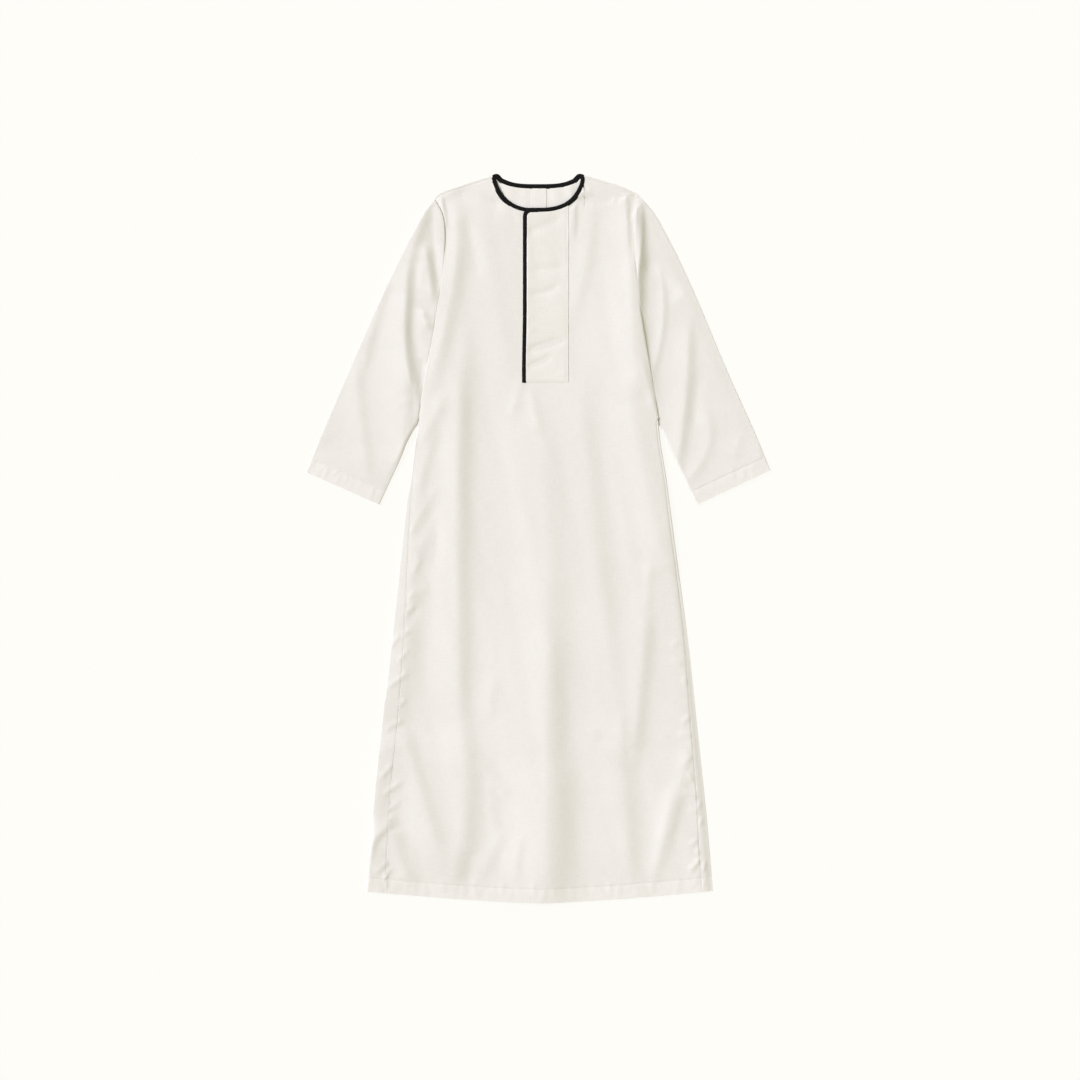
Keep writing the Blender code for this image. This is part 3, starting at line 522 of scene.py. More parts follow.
def on_body(x, y):
    return stacked(x, y, body_height(x, y))


# --- Meshes ---


def in_scene(name, data):
    """A new object, linked to the scene."""
    obj = bpy.data.objects.new(name, data)
    bpy.context.scene.collection.objects.link(obj)
    return obj


def finish_mesh(name, mesh, surface, sharp=55):
    mesh.materials.append(surface)
    mesh.shade_smooth()
    mesh.set_sharp_from_angle(angle=math.radians(sharp))
    return in_scene(name, mesh)


def mesh_from(name, points, faces, uv=None, painted_lift_share=None):
    """A mesh of points in millimetres, with the cloth's coordinates and how far its colour is painted
    lighter.
    """
    mesh = bpy.data.meshes.new(name)
    mesh.from_pydata((np.reshape(points, (-1, 3)) * MM).tolist(), [], faces)
    if painted_lift_share is not None:
        share = mesh.attributes.new("painted_lift_share", "FLOAT", "POINT")
        share.data.foreach_set("value", np.asarray(painted_lift_share, np.float32).ravel())
    if uv is not None:
        loops = np.zeros(len(mesh.loops), np.int32)
        mesh.loops.foreach_get("vertex_index", loops)
        places = np.reshape(uv, (-1, 2))[loops] * MM
        mesh.uv_layers.new(name="cloth").data.foreach_set("uv", places.astype(np.float32).ravel())
    return mesh


def grid_faces(rows, columns, ring, skip):
    faces = []
    for i in range(rows - 1):
        for j in range(columns if ring else columns - 1):
            if (i, j) not in skip:
                k = (j + 1) % columns
                low, high = i * columns, (i + 1) * columns
                faces.append((low + j, low + k, high + k, high + j))
    return faces


def tube_faces(rings, count):
    """Faces of a tube with both ends closed."""
    starts = range(0, (rings - 1) * count, count)
    pairs = [(i + j, i + (j + 1) % count) for i in starts for j in range(count)]
    ends = tuple(range(count)), tuple(reversed(range((rings - 1) * count, rings * count)))
    return [*((low, low + count, high + count, high) for low, high in pairs), *ends]


def cloth_shell(name, grid, surface, uv=None, wall=WALL, ring=False, skip=(), painted_lift_share=None):
    """A grid of points with a wall under it, as one closed mesh. Its colour is painted lighter on
    doubled edges and inside the back's neck.
    """
    uv = grid[..., :2] if uv is None else uv
    faces = grid_faces(*grid.shape[:2], ring, skip)
    obj = in_scene(name + "_face", mesh_from(name + "_face", grid, faces, uv, painted_lift_share))
    layer = obj.modifiers.new("wall", "SOLIDIFY")
    layer.thickness = wall * MM
    layer.offset = -1
    graph = bpy.context.evaluated_depsgraph_get()
    whole = bpy.data.meshes.new_from_object(obj.evaluated_get(graph))
    bpy.data.objects.remove(obj)
    whole.name = name
    return finish_mesh(name, whole, surface)


def run_along(points, axis=0):
    """Distance along lines of points, from the first of them."""
    first = points.take([0], axis)
    return np.cumsum(np.linalg.norm(np.diff(points, axis=axis, prepend=first), axis=-1), axis=axis)


# Rows of the body: distances from the hem, shares between, and distances below the top.
HEM_STEPS = np.array((0, 0.5, 1.3, 2.6, 5, 8, 11, 14, 17, 20, 23, 25, 26.2, 27, 27.8, 29, 31, 34))
TOP_STEPS = np.array((26, 22, 18, 15, 12, 9.5, 7.5, 6, 5, 4.3, 3.6, 2.6, 1.6, 0.8, 0))
SKIRT_STEPS = 190
CHEST_STEPS = 92
SPREAD_REACH = 300  # over which the columns draw together towards the neck


def body_rows(low, high):
    """Height up the page of every row, for columns that run from low to high."""
    start = low + HEM_STEPS[-1] + 4
    stop = high - TOP_STEPS[0] - 4
    skirt, chest = (np.linspace(0, 1, n)[:-1, None] for n in (SKIRT_STEPS, CHEST_STEPS))
    skirt = start + (ARMPIT_Y - start) * skirt
    chest = ARMPIT_Y + (stop - ARMPIT_Y) * chest
    return np.concatenate((low + HEM_STEPS[:, None], skirt, chest, high - TOP_STEPS[:, None]))


def columns_x(knots, y):
    """X of every column. Knots are (column, function of y), and columns lie evenly between."""
    x = np.zeros_like(y)
    for (first, start), (last, stop) in zip(knots, knots[1:]):
        for j in range(first, last + 1):
            at = y[:, j]
            x[:, j] = start(at) + (stop(at) - start(at)) * (j - first) / (last - first)
    return x


def neck_knot(x_top, x_hem):
    """A column that leaves the neckline at x_top and has spread to x_hem well below it."""
    return lambda y: x_hem + (x_top - x_hem) * smooth((y - PLACKET_FOOT_Y) / SPREAD_REACH)


def panel_plan(knots, tops):
    """X and Y of a panel's points. Tops are the heights of its columns' upper ends."""
    high = np.full(knots[-1][0] + 1, SHOULDER_TIP_Y)
    low = np.full_like(high, HEM_Y)
    for _ in range(5):
        y = body_rows(low, high)
        x = columns_x(knots, y)
        high, low = tops(x[-1]), hem_y(x[0])
    return x, y


# Columns beside a seam, by their distance from it.
SEAM_STEPS = (0.7, 1.5, 2.4, 3.6, 5.4, 8, 11.5)
SEAM_PLAY = 0.1  # half of what shows between two pieces at a seam
TAPE_CLEAR = TAPE_WIDTH / 2 + 0.05
NECK_CORNER = NECK_HALF + TAPE_CLEAR


def seam_knots(side, first):
    """Knots for the column at the front's edge and those inside it, from the left."""
    sign = SIGN[side]
    knots = []
    for i, step in enumerate((SEAM_PLAY, *SEAM_STEPS)):
        knots.append((first - int(sign) * i, lambda y, step=step: seam_x(y, side) - sign * step))
    return sorted(knots, key=lambda knot: knot[0])


def front_plan():
    knots = seam_knots("left", 0)
    knots.append((knots[-1][0] + 37, neck_knot(-NECK_CORNER, -112)))
    neck_tops = {}

    def add_neck(side, angles, hems, count):
        for angle, x_hem in zip(np.linspace(*angles, count), np.linspace(*hems, count)):
            x, y = neck_point(side, math.radians(angle), TAPE_CLEAR)
            column = knots[-1][0] + 1
            neck_tops[column] = y
            knots.append((column, neck_knot(x, x_hem)))

    add_neck("left", (84, 26), (-107, -38), 16)
    last = knots[-1][0]
    slit_column = last + 4
    upright = ((2, PLACKET_TAPE_X), (4, SLIT_LEFT), (5, SLIT_RIGHT), (21, PLACKET_RIGHT))
    knots.extend((last + column, neck_knot(x, x)) for column, x in upright)
    add_neck("right", (48, 84), (62, 108), 11)
    corner_column = knots[-1][0] + 1
    knots.append((corner_column, neck_knot(NECK_CORNER, 114)))
    knots.extend(seam_knots("right", corner_column + 41 + len(SEAM_STEPS)))

    def tops(x):
        on_placket = np.maximum(x, PLACKET_TURN_X + 4)
        neck = neck_edge_y(np.where(x > SLIT_LEFT + 0.1, on_placket, x), TAPE_CLEAR)
        high = shoulder_y(x)
        on_neck = slice(min(neck_tops), corner_column)
        high[on_neck] = neck[on_neck]
        high[list(neck_tops)] = list(neck_tops.values())
        return high

    return *panel_plan(knots, tops), slit_column


def in_hem(grid):
    """Share of the doubled cloth's look that points of the body take in the folded-up hem."""
    return HEM_DOUBLED * band(grid[..., 1] - hem_y(grid[..., 0]), HEM_BAND)


def turned_edge(points, beside_z):
    """The same points, brought down as far as the cloth that they are sewn to."""
    x, y, z = np.moveaxis(points, -1, 0)
    return stacked(x, y, np.maximum(np.minimum(z, beside_z) - SEAM_TURN, LEAST))


def front_shell(surface):
    x, y, slit_column = front_plan()
    grid = on_body(x, y)
    edges = []
    for place, side in ((0, "left"), (-1, "right")):
        edge = grid[:, place]
        _, sleeve_y, sleeve_z = sleeve_top(side)[1][0][::-1].T
        beside = np.interp(edge[:, 1], sleeve_y, sleeve_z)
        beside = np.where(edge[:, 1] > ARMPIT_Y - 3, beside, edge[:, 2])
        edges.append(turned_edge(edge, beside)[:, None])
    grid = np.concatenate((edges[0], grid, edges[1]), axis=1)
    open_rows = np.flatnonzero(y[:, slit_column] >= PLACKET_FOOT_Y)
    skip = {(i, slit_column + 1) for i in open_rows[:-1]}
    return cloth_shell("cloth_front", grid, surface, skip=skip, painted_lift_share=in_hem(grid))


ROLL_STEPS = 8
ARMPIT_LAP = 13  # how far the back's turned strip runs on above the armpit, under the sleeve's end
RETURN_SHARES = np.array((0.12, 0.25, 0.38, 0.5, 0.62, 0.73, 0.82, 0.89, 0.94, 0.975, 1))
NECK_WAVES = ((-52, 13, 1.1), (-24, 9, 0.6), (34, 10, 0.9), (60, 9, 1.2))  # x, width and height


def back_neck_height(x, y):
    """The back stands up a little inside the neck, where nothing lies on it."""
    total = np.zeros_like(x)
    for at, width, height in NECK_WAVES:
        lean = at * (1 - 0.0035 * (y - 676))
        total += height * bell((x - lean) / width)
    return total * smooth((y - 560) / 60) * smooth((NECK_HALF - 4 - abs(x)) / 12)


def rolled_side(side, y):
    """The back's edge: lines of points up round its roll, then over the front to the seam."""
    sign = SIGN[side]
    fold_x = side_x(y, side) - sign * ROLL
    steps = np.arange(1, ROLL_STEPS + 1)[:, None] / ROLL_STEPS
    angle = math.pi * steps
    # The roll is as high as the upper layer beside it.
    taller = 1 + (body_height(fold_x, y) / EDGE - 1) * smooth(steps)
    z = ROLL * (1 - np.cos(angle)) * taller
    roll = stacked(fold_x + sign * ROLL * np.sin(angle), y, z)
    end = seam_x(y, side) + sign * SEAM_PLAY
    x = fold_x + (end - fold_x) * RETURN_SHARES[:, None]
    near_hem = smooth(1 - (y - y[0]) / 60)
    return np.concatenate((roll, on_body(x, y + (hem_y(x) - hem_y(fold_x)) * near_hem)))


def back_shell(surface):
    """The back: flat underneath, rolled up and over to the front along both sides."""

    def flat_edge(side):
        inset = lambda y: np.where(y < ARMPIT_Y + 1, ROLL, SEAM_PLAY)
        return lambda y: side_x(y, side) - SIGN[side] * inset(y)

    first, margin = 11, 10
    ends = ((-84, -60, 8), (-56, 56, 29), (60, 84, 8))
    spaced = np.concatenate([np.linspace(*end) for end in ends])
    last = first + len(spaced)
    knots = [(0, flat_edge("left")), (first - 1, neck_knot(-NECK_CORNER, -112))]
    knots += [(first + i, neck_knot(x, 1.22 * x)) for i, x in enumerate(spaced)]
    knots += [(last, neck_knot(NECK_CORNER, 112)), (last + margin, flat_edge("right"))]

    def tops(x):
        high = shoulder_y(x)
        high[first:last] = back_edge_y(x, TAPE_CLEAR)[first:last]
        return high

    x, y = panel_plan(knots, tops)
    flat = stacked(x, y, back_neck_height(x, y)).swapaxes(0, 1)
    left, right = rolled_side("left", y[:, 0]), rolled_side("right", y[:, -1])
    grid = np.concatenate((right[::-1], flat[::-1], left)).swapaxes(0, 1)
    rolled = len(left)
    total = grid.shape[1] - 1
    skip = set()
    for inner, stop in ((0, ARMPIT_Y + ARMPIT_LAP), (rolled - ROLL_STEPS, ARMPIT_Y - 0.5)):
        ends = [*range(inner, rolled), *range(total - rolled, total - inner)]
        skip |= {(i, j) for i in np.flatnonzero(y[:-1, 0] >= stop) for j in ends}
    # The cloth's own run across the page, for the weave.
    run = run_along(grid, 1)
    uv = stacked(run - run[:, total // 2, None], grid[..., 1])
    # Painted lighter: the hem, as doubled cloth, and the back above 600 mm, which shows inside the neck
    # though nothing lies doubled there.
    painted_lift_share = np.maximum(in_hem(grid), smooth((grid[..., 1] - 600) / 20))
    return cloth_shell("cloth_back", grid, surface, uv, skip=skip, painted_lift_share=painted_lift_share)


# --- Sleeves ---

BAND_REACH = 33  # the last stretch of a sleeve, whose rows run along the cuff
BAND_STEPS = (30, 28.8, 27.8, 27, 26.2, 25, 22.5, 19.5, 16.5, 13.5, 10.5, 7.5, 4.8, 2.6, 1.3, 0.5, 0)
SLEEVE_STEPS = 116
SEAM_SHARES = (0, 0.0012, 0.0028, 0.005, 0.008, 0.012, 0.018)  # of its rows beside the armhole
ACROSS_STEPS = 62
TURN_STEPS = 8
UNDER_STEPS = 14


def along_at(side, edge, distance):
    """Where along a sleeve its edge is a distance from the cuff."""
    fine = np.linspace(0, 1, 801)
    left = run_along(edge_point(side, edge, fine)[::-1])[::-1]
    return np.interp(-np.asarray(distance), -left, fine)


def sleeve_stations(side):
    """How far along a sleeve the outer and inner ends of each of its rows lie."""
    shares = np.concatenate((SEAM_SHARES, np.linspace(0.026, 1, SLEEVE_STEPS)))
    for edge in ("outer", "inner"):
        steps = shares * along_at(side, edge, BAND_REACH), along_at(side, edge, BAND_STEPS)
        yield np.concatenate(steps)


def sleeve_place(side, outer_at, inner_at, t):
    """X and Y of points across a sleeve: straight, but curved like the armhole near it."""
    outer, inner = both_edges(side, outer_at, inner_at)
    length = np.linalg.norm(inner - outer, axis=-1)[:, None]
    reach = (ROLL + (length - 2 * ROLL) * t) / length
    x, y = (outer[:, k, None] + (inner - outer)[:, k, None] * reach for k in (0, 1))
    start, end = both_edges(side, 0)
    seam_y = start[1] - ROLL + (end[1] - start[1] + 2 * ROLL) * t
    seam = side_x(seam_y, side) + SIGN[side] * SEAM_PLAY
    straight = start[0] + (end[0] - start[0]) * (seam_y - start[1]) / (end[1] - start[1])
    return x + (seam - straight) * (1 - outer_at[:, None]) ** 3, y, length


def cuff_distance(side, x, y):
    outer, inner = both_edges(side, 1)
    unit = (inner - outer) / np.linalg.norm(inner - outer)
    return abs((x - outer[0]) * unit[1] - (y - outer[1]) * unit[0])


def on_sleeve(side, outer_at, inner_at, t):
    """The length of each row across a sleeve, and points of its upper face."""
    x, y, length = sleeve_place(side, outer_at, inner_at, t)
    flat = length - 2 * ROLL
    inside = np.minimum(t, 1 - t) * flat  # from the nearer folded edge
    from_right = (1 - t if side == "left" else t) * flat
    away = abs(x - side_x(y, side))
    fall = EDGE_FALL_SHARE[side] * bell(from_right / EDGE_FALL[side])
    z = EDGE + (LOFT + fold_rise(x, y, RIDGES[side])) * (1 - fall)
    z += fold_rise(x, y, FINE[side]) * smooth(inside / 5)
    z += waves(y, x) * smooth(inside / 30) * smooth(away / 30)
    z += dip(away, ARMHOLE_DIP) * smooth(inside / 4)
    if side == "left":
        # The body's folds lift the sleeve sewn to it. The right one lies under the body.
        lift = fold_rise(side_x(y, side), y, RIDGES["body"]) * smooth((y - ARMPIT_Y + 10) / 50)
        z += lift * bell(away / SHARED_REACH)
    cuff = cuff_distance(side, x, y)
    z += BAND_RISE * band(cuff, CUFF_BAND) * smooth(inside / 6)
    z += dip(cuff - CUFF_BAND, STITCH_DIP) * smooth(inside / 3)
    return length, stacked(x, y, z)


def sleeve_top(side):
    """The same for the whole upper face, with points closer together towards the outer edge."""
    t = (np.arange(ACROSS_STEPS + 1)[None, :] / ACROSS_STEPS) ** 1.15
    return on_sleeve(side, *sleeve_stations(side), t)


def sleeve_shell(side, surface):
    ends = [*sleeve_stations(side)]
    length, top = sleeve_top(side)
    turn = math.pi * np.arange(1, TURN_STEPS)[None, :] / TURN_STEPS

    def rolled(t, lift, beside):
        x, y, _ = sleeve_place(side, *ends, t)
        return stacked(x, y, ROLL * lift * (1 + (beside / EDGE - 1) * smooth(lift / 2)))

    out = ROLL * np.sin(turn) / (length - 2 * ROLL)
    down = rolled(1 + out, 1 + np.cos(turn), top[:, -1, 2, None])
    up = rolled(0 - out, 1 - np.cos(turn), top[:, 0, 2, None])
    under = rolled(1 - np.arange(UNDER_STEPS + 1)[None, :] / UNDER_STEPS, 0, EDGE)
    grid = np.concatenate((top, down, under, up), axis=1)
    # Along the armhole the upper face turns down to the body's.
    seam = grid[:1].copy()
    seam[..., 0] -= SIGN[side] * SEAM_PLAY / 2
    face = seam[0, : ACROSS_STEPS + 1]
    face[:] = turned_edge(face, body_height(side_x(face[:, 1], side), face[:, 1]))
    grid = np.concatenate((seam, grid))
    if side == "left":
        grid = grid[:, ::-1]
    run = run_along(np.concatenate((grid, grid[:, :1]), axis=1), 1)[:, 1:]
    middle = sum(both_edges(side, *ends)) / 2
    along = np.linalg.norm(middle - middle[:1], axis=-1)
    uv = stacked(run, np.concatenate((along[:1], along))[:, None])
    painted_lift_share = HEM_DOUBLED * band(cuff_distance(side, grid[..., 0], grid[..., 1]), CUFF_BAND)
    return cloth_shell(f"cloth_sleeve_{side}", grid, surface, uv, ring=True, painted_lift_share=painted_lift_share)


# --- Placket, strip and binding ---

PLACKET_WALL = 0.8
PLACKET_OVER = PLACKET_WALL + 0.35
PLACKET_STITCH = TOPSTITCH + 1.5
PLACKET_RIDGE = 1.1  # roll of the placket's cloth beside the binding
PLACKET_RIDGE_START = 1
PLACKET_RIDGE_FALL = 18


def placket_height(x, y):
    height = body_height(x, y) + PLACKET_OVER + fold_rise(x, y, CREASES["placket"])
    for from_edge, drop, width in ((PLACKET_RIGHT - x, 0.45, 1.6), (y - PLACKET_FOOT_Y, 1, 4)):
        height -= drop * (1 - smooth(from_edge / width)) ** 2
        height += dip(from_edge - PLACKET_STITCH, 0.32, 1.1)
    from_tape = x - PLACKET_TAPE_X - tape_drift(y) - TAPE_CLEAR
    start = 1 - bell(from_tape / PLACKET_RIDGE_START)
    ridge = PLACKET_RIDGE * smooth((y - PLACKET_FOOT_Y - 20) / 50)
    return height + ridge * start * np.exp(-from_tape / PLACKET_RIDGE_FALL)


def on_placket(x, y):
    return stacked(x, y, placket_height(*np.broadcast_arrays(x, y)))


def placket_shell(surface):
    turn = PLACKET_TURN - TAPE_CLEAR
    left = PLACKET_TAPE_X + TAPE_CLEAR
    near = np.array((0, 0.4, 1, 1.8, 2.6, 3.5, 4.4, 5.6, 7.2))
    even = np.linspace(left + 9, PLACKET_RIGHT - 9, 30)
    columns = np.concatenate((left + near, even, PLACKET_RIGHT - near[::-1]))
    high = neck_edge_y(np.maximum(columns, PLACKET_TURN_X + 4), TAPE_CLEAR)
    from_turn = np.maximum(PLACKET_TURN_X - columns, 0)
    high -= turn - np.sqrt(np.maximum(turn**2 - from_turn**2, 0))
    foot = PLACKET_FOOT_Y + near[:, None] + 0 * columns
    start = foot[-1] + 1.8
    y = np.concatenate((foot, start + (high - start) * np.linspace(0, 1, 118)[:, None]))
    x = columns + tape_drift(y) * (1 - smooth((columns - left) / 25))
    grid = on_placket(x, y)
    return cloth_shell("cloth_placket", grid, surface, wall=PLACKET_WALL)


def neck_strip_shell(surface):
    """A narrow strip inside the back, hanging from the binding."""
    near = np.array((0, 0.4, 1, 2, 3.5))
    even = np.linspace(STRIP_LEFT + 5.5, STRIP_RIGHT - 5.5, 7)
    x = np.concatenate((STRIP_LEFT + near, even, STRIP_RIGHT - near[::-1]))
    length = back_edge_y(x, TAPE_CLEAR) - STRIP_FOOT_Y
    y = STRIP_FOOT_Y + length * np.linspace(0, 1, 40)[:, None]
    from_edge = np.minimum(x - STRIP_LEFT, STRIP_RIGHT - x)
    z = WALL + STRIP_WALL + 0.1 + back_neck_height(x + 0 * y, y) + dip(x - STRIP_LEFT - 2.2, 0.3, 1)
    grid = stacked(x, y, z - 0.25 * (1 - smooth(from_edge / 1.2)) ** 2)
    painted_lift_share = np.ones(grid.shape[:2])
    return cloth_shell("cloth_neck_strip", grid, surface, wall=STRIP_WALL, painted_lift_share=painted_lift_share)


def tape_drift(y):
    return TAPE_DRIFT * smooth((y - PLACKET_FOOT_Y - 20) / 130)


def binding_path(finer=4):
    """Middle line of the binding as (x, y, height of its underside, added width).

    It goes from under the placket's corner up the left of the neckline, round the back, down the
    right, and round the placket's corner down its free edge.
    """
    parts = []

    def add(x, y, z, more=0):
        on_neck = smooth((y - PLACKET_FOOT_Y - 320) / 10)
        wider = on_neck * (NECK_SWELL + SIDE_SWELL * smooth((abs(x) - 48) / 20)) + more
        parts.append(stacked(x, y, z, wider))

    def steps(start, stop, count):
        return np.linspace(start, stop, count * finer + 1)[:-1]

    def front(side, start, stop, count):
        angle = np.radians(steps(start, stop, count))
        tip = TIP_OUT[side] * smooth((np.degrees(angle) - 65) / 25)
        return neck_point(side, angle, tip)

    def shoulder(side, share):
        angle = np.radians(NECK_TURN * share)
        x = NECK_HALF - NECK_BEND + (NECK_BEND + TIP_OUT[side]) * np.cos(angle)
        z = float(body_height(-NECK_HALF, NECK_TOP)) - WALL - GAP
        y = NECK_TOP + NECK_BEND * np.sin(angle)
        add(SIGN[side] * x, y, z * (1 - smooth(share * 1.2)))

    x, y = front("left", 11, 90, 13)
    add(x, y, body_height(x, y) - WALL - GAP)
    shoulder("left", steps(0, 1, 6))
    x = steps(-BACK_RUN, BACK_RUN, 15)
    add(x, back_neck_y(x) + 0.2, 0, BACK_SWELL)
    shoulder("right", steps(1, 0, 6))
    x, y = front("right", 90, 0, 12)
    over = -WALL - GAP + 1 * smooth((75 - x) / 20) + 0.9 * smooth((14 - x) / 20)
    add(x, y, body_height(x, y) + over)
    angle = np.radians(steps(90, 180, 7))
    turn_y = float(neck_point("right", 0)[1]) - PLACKET_TURN
    x = PLACKET_TURN_X + (PLACKET_TURN - TAPE_DRIFT) * np.cos(angle)
    y = turn_y + PLACKET_TURN * np.sin(angle)
    add(x, y, body_height(x, y) + 0.4)
    share = np.linspace(0, 1, 13 * finer)
    y = turn_y + (PLACKET_FOOT_Y - turn_y) * share
    x = PLACKET_TAPE_X + tape_drift(y)
    add(x, y, body_height(x, y) + 0.4 - 0.7 * smooth((12 * share - 0.5) / 2))
    return np.concatenate(parts)


def sweep(path, profile):
    """Rings of a profile of (out, up) carried along a path, square to its run on the page."""
    run = np.gradient(path[:, :2], axis=0)
    run /= np.linalg.norm(run, axis=1)[:, None]
    outs, ups = np.transpose(profile)
    x, y, z, wider = (column[:, None] for column in path.T)
    outs = outs * (1 + wider / TAPE_SHOWN)
    return stacked(x + run[:, 1:] * outs, y - run[:, :1] * outs, z + ups)


def evened(path, step=1.6):
    """The same path with its points a step apart, and how far along it they are."""
    run = run_along(path)
    at = np.linspace(0, run[-1], int(run[-1] / step) + 1)
    return stacked(*(np.interp(at, run, column) for column in path.T)), at


TAPE_FALL = 0.42  # share of its thickness that the tape loses towards its edges
TAPE_STITCHED = 0.7  # share of the way to an edge, where its stitches run
TAPE_GROOVE = 0.18  # depth that they pull in
# Half of the tape's section: how far out its points are.
TAPE_SHARES = np.array((0, 0.25, 0.5, 0.64, 0.76, 0.88, 0.96, 1))


def binding_piece(surface):
    """A folded strip of satin: a domed section, drawn in a little by its edge stitches."""
    path, at = evened(binding_path())
    half = TAPE_SHOWN / 2
    ups = TAPE_THICK * (1 - TAPE_FALL * TAPE_SHARES**3.2)
    ups -= np.where(abs(TAPE_SHARES - TAPE_STITCHED) < 0.08, TAPE_GROOVE, 0)
    ups[-1] *= 0.75
    right = [*zip(half * TAPE_SHARES, ups), (half, 0)]
    profile = [(-out, up) for out, up in right[:0:-1]] + right
    rings = sweep(path, profile)
    puff = 0.10 * np.sin(at / 5.3) + 0.07 * np.sin(at / 2.9 + 1)
    rings[:, 1:-1, 2] += puff[:, None] * 0.9
    uv = stacked(at[:, None], np.transpose(profile)[0])
    mesh = mesh_from("binding_tape", rings, tube_faces(*rings.shape[:2]), uv)
    return finish_mesh("binding_tape", mesh, surface, 62)


# --- Stitches ---

STITCH_LENGTH = 3
STITCH_PITCH = 4.1
STITCH_HALF = 0.32
STITCH_SIDES = 6
# A stitch's rings: their place along it, thickness and height.
STITCH_RINGS = (
    (-0.5, 0.35, -0.32), (-0.38, 0.9, -0.05), (0, 1, 0.08), (0.38, 0.9, -0.05), (0.5, 0.35, -0.32)
)


def stitches(name, paths, surface, lift=0.05, half=STITCH_HALF):
    """Rows of short rounded stitches along paths of (x, y, z), as one mesh."""
    places, thick, sink = (column[:, None] for column in np.transpose(STITCH_RINGS))
    turn = 2 * math.pi * np.arange(STITCH_SIDES) / STITCH_SIDES
    out, up = half * thick * np.cos(turn), 0.8 * half * thick * np.sin(turn)
    made = []
    for path in paths:
        run = run_along(path)
        for middle in np.arange(STITCH_PITCH, run[-1] - STITCH_PITCH / 2, STITCH_PITCH):
            at = middle + places * STITCH_LENGTH
            x, y, z = (np.interp(at, run, column) for column in path.T[:3])
            run_x, run_y = x[-1] - x[0], y[-1] - y[0]
            across = out / np.hypot(run_x, run_y)
            made.append(stacked(x + run_y * across, y - run_x * across, z + up + (lift + sink)))
    one = tube_faces(len(STITCH_RINGS), STITCH_SIDES)
    size = len(STITCH_RINGS) * STITCH_SIDES
    faces = [tuple(v + i * size for v in face) for i in range(len(made)) for face in one]
    return finish_mesh(name, mesh_from(name, np.array(made), faces), surface, 80)


def stitch_paths():
    """The paths of the rows of stitches, by what they sew."""
    x = np.linspace(-326, 331, 700)
    paths = {"hem": [on_body(x, hem_y(x) + HEM_BAND)], "sides": [], "armholes": [], "shoulders": []}
    for side, sign in SIGN.items():
        y = np.linspace(float(hem_y(seam_x(HEM_Y, side))) + 4, ARMPIT_Y - 8, 900)
        paths["sides"].append(on_body(seam_x(y, side) - sign * TOPSTITCH, y))
        y = np.linspace(ARMPIT_Y + 6, SHOULDER_TIP_Y - 12, 500)
        paths["armholes"].append(on_body(side_x(y, side) - sign * (TOPSTITCH + 0.6), y))
        x = sign * np.linspace(NECK_HALF + 8, 192, 160)
        paths["shoulders"].append(on_body(x, shoulder_y(x) - SHOULDER_STITCH))
    top = float(neck_edge_y(PLACKET_RIGHT, TAPE_CLEAR)) - 3
    right, foot = PLACKET_RIGHT - PLACKET_STITCH, PLACKET_FOOT_Y + PLACKET_STITCH
    up = on_placket(right, np.linspace(foot, top, 400))
    paths["placket"] = [up, on_placket(np.linspace(PLACKET_TAPE_X + TAPE_CLEAR + 1, right, 120), foot)]
    tape = evened(binding_path())[0]
    out, up = TAPE_STITCHED * TAPE_WIDTH / 2, TAPE_THICK * 0.76
    paths["binding"] = [sweep(tape, [(sign * out, up)])[:, 0] for sign in SIGN.values()]
    for side in SIGN:
        at = np.array([along_at(side, edge, CUFF_BAND) for edge in ("outer", "inner")])
        t = np.linspace(0.01, 0.99, 300)[None, :]
        paths[f"cuff_{side}"] = [on_sleeve(side, at[:1], at[1:], t)[1][0]]
    return paths


# --- Materials ---


def set_inputs(node, inputs):
    """Sets inputs, found by name or number, to values, or links them to outputs of other nodes."""
    for place, value in inputs.items():
        if isinstance(value, bpy.types.NodeSocket):
            node.id_data.links.new(value, node.inputs[place])
        else:
            node.inputs[place].default_value = value


def add_node(tree, kind, inputs, **settings):
    """Adds a node and gives back its outputs."""
    node = tree.nodes.new("ShaderNode" + kind)
    for name, value in settings.items():
        setattr(node, name, value)
    set_inputs(node, inputs)
    return node.outputs


def scaled(colour, share):
    return (*(part * share for part in colour), 1)


def new_material(name, colour, roughness):
    made = bpy.data.materials.new(name)
    made.use_nodes = True
    shader = made.node_tree.nodes["Principled BSDF"]
    set_inputs(shader, {"Base Color": scaled(colour, 1), "Roughness": roughness})
    return made, made.node_tree, shader


def math_node(operation, first, second=0):
    return add_node(first.id_data, "Math", {0: first, 1: second}, operation=operation)[0]


def streaks(vector, across, along, detail=2):
    """Noise drawn out along one direction of the cloth, from 0 to 1."""
    tree = vector.id_data
    rates = (1 / (across * MM), 1 / (along * MM), 1)
    drawn = add_node(tree, "Mapping", {"Vector": vector, "Scale": rates})["Vector"]
    return add_node(tree, "TexNoise", {"Vector": drawn, "Scale": 1, "Detail": detail})["Fac"]


THREAD_PITCH = 0.62  # between neighbouring threads of the weave
RIB_PITCH = 0.45  # between neighbouring ribs of the satin
PAINTED_LIFT = 1.055  # how much lighter the colour is painted: cloth with more cloth behind it lets less light through, and so looks lighter; the back inside the neck, with nothing doubled there, is painted just as light
HEM_DOUBLED = 0.55  # share of that lift on a turned hem
SLUB = 0.036  # how far slubs and streaks change the cloth's colour


def cloth_coordinates(tree):
    """The cloth's own coordinates, together and one by one."""
    uv = add_node(tree, "UVMap", {}, uv_map="cloth")["UV"]
    parts = add_node(tree, "SeparateXYZ", {0: uv})
    return uv, parts["X"], parts["Y"]


def mixed(share, first, second, blend="MIX"):
    inputs = {"Factor": share, "A": first, "B": second}
    return add_node(share.id_data, "Mix", inputs, data_type="RGBA", blend_type=blend)["Result"]


def add_relief(shader, height, strength, distance):
    inputs = {"Height": height, "Strength": strength, "Distance": distance}
    bump = add_node(shader.id_data, "Bump", inputs)
    set_inputs(shader, {"Normal": bump["Normal"]})


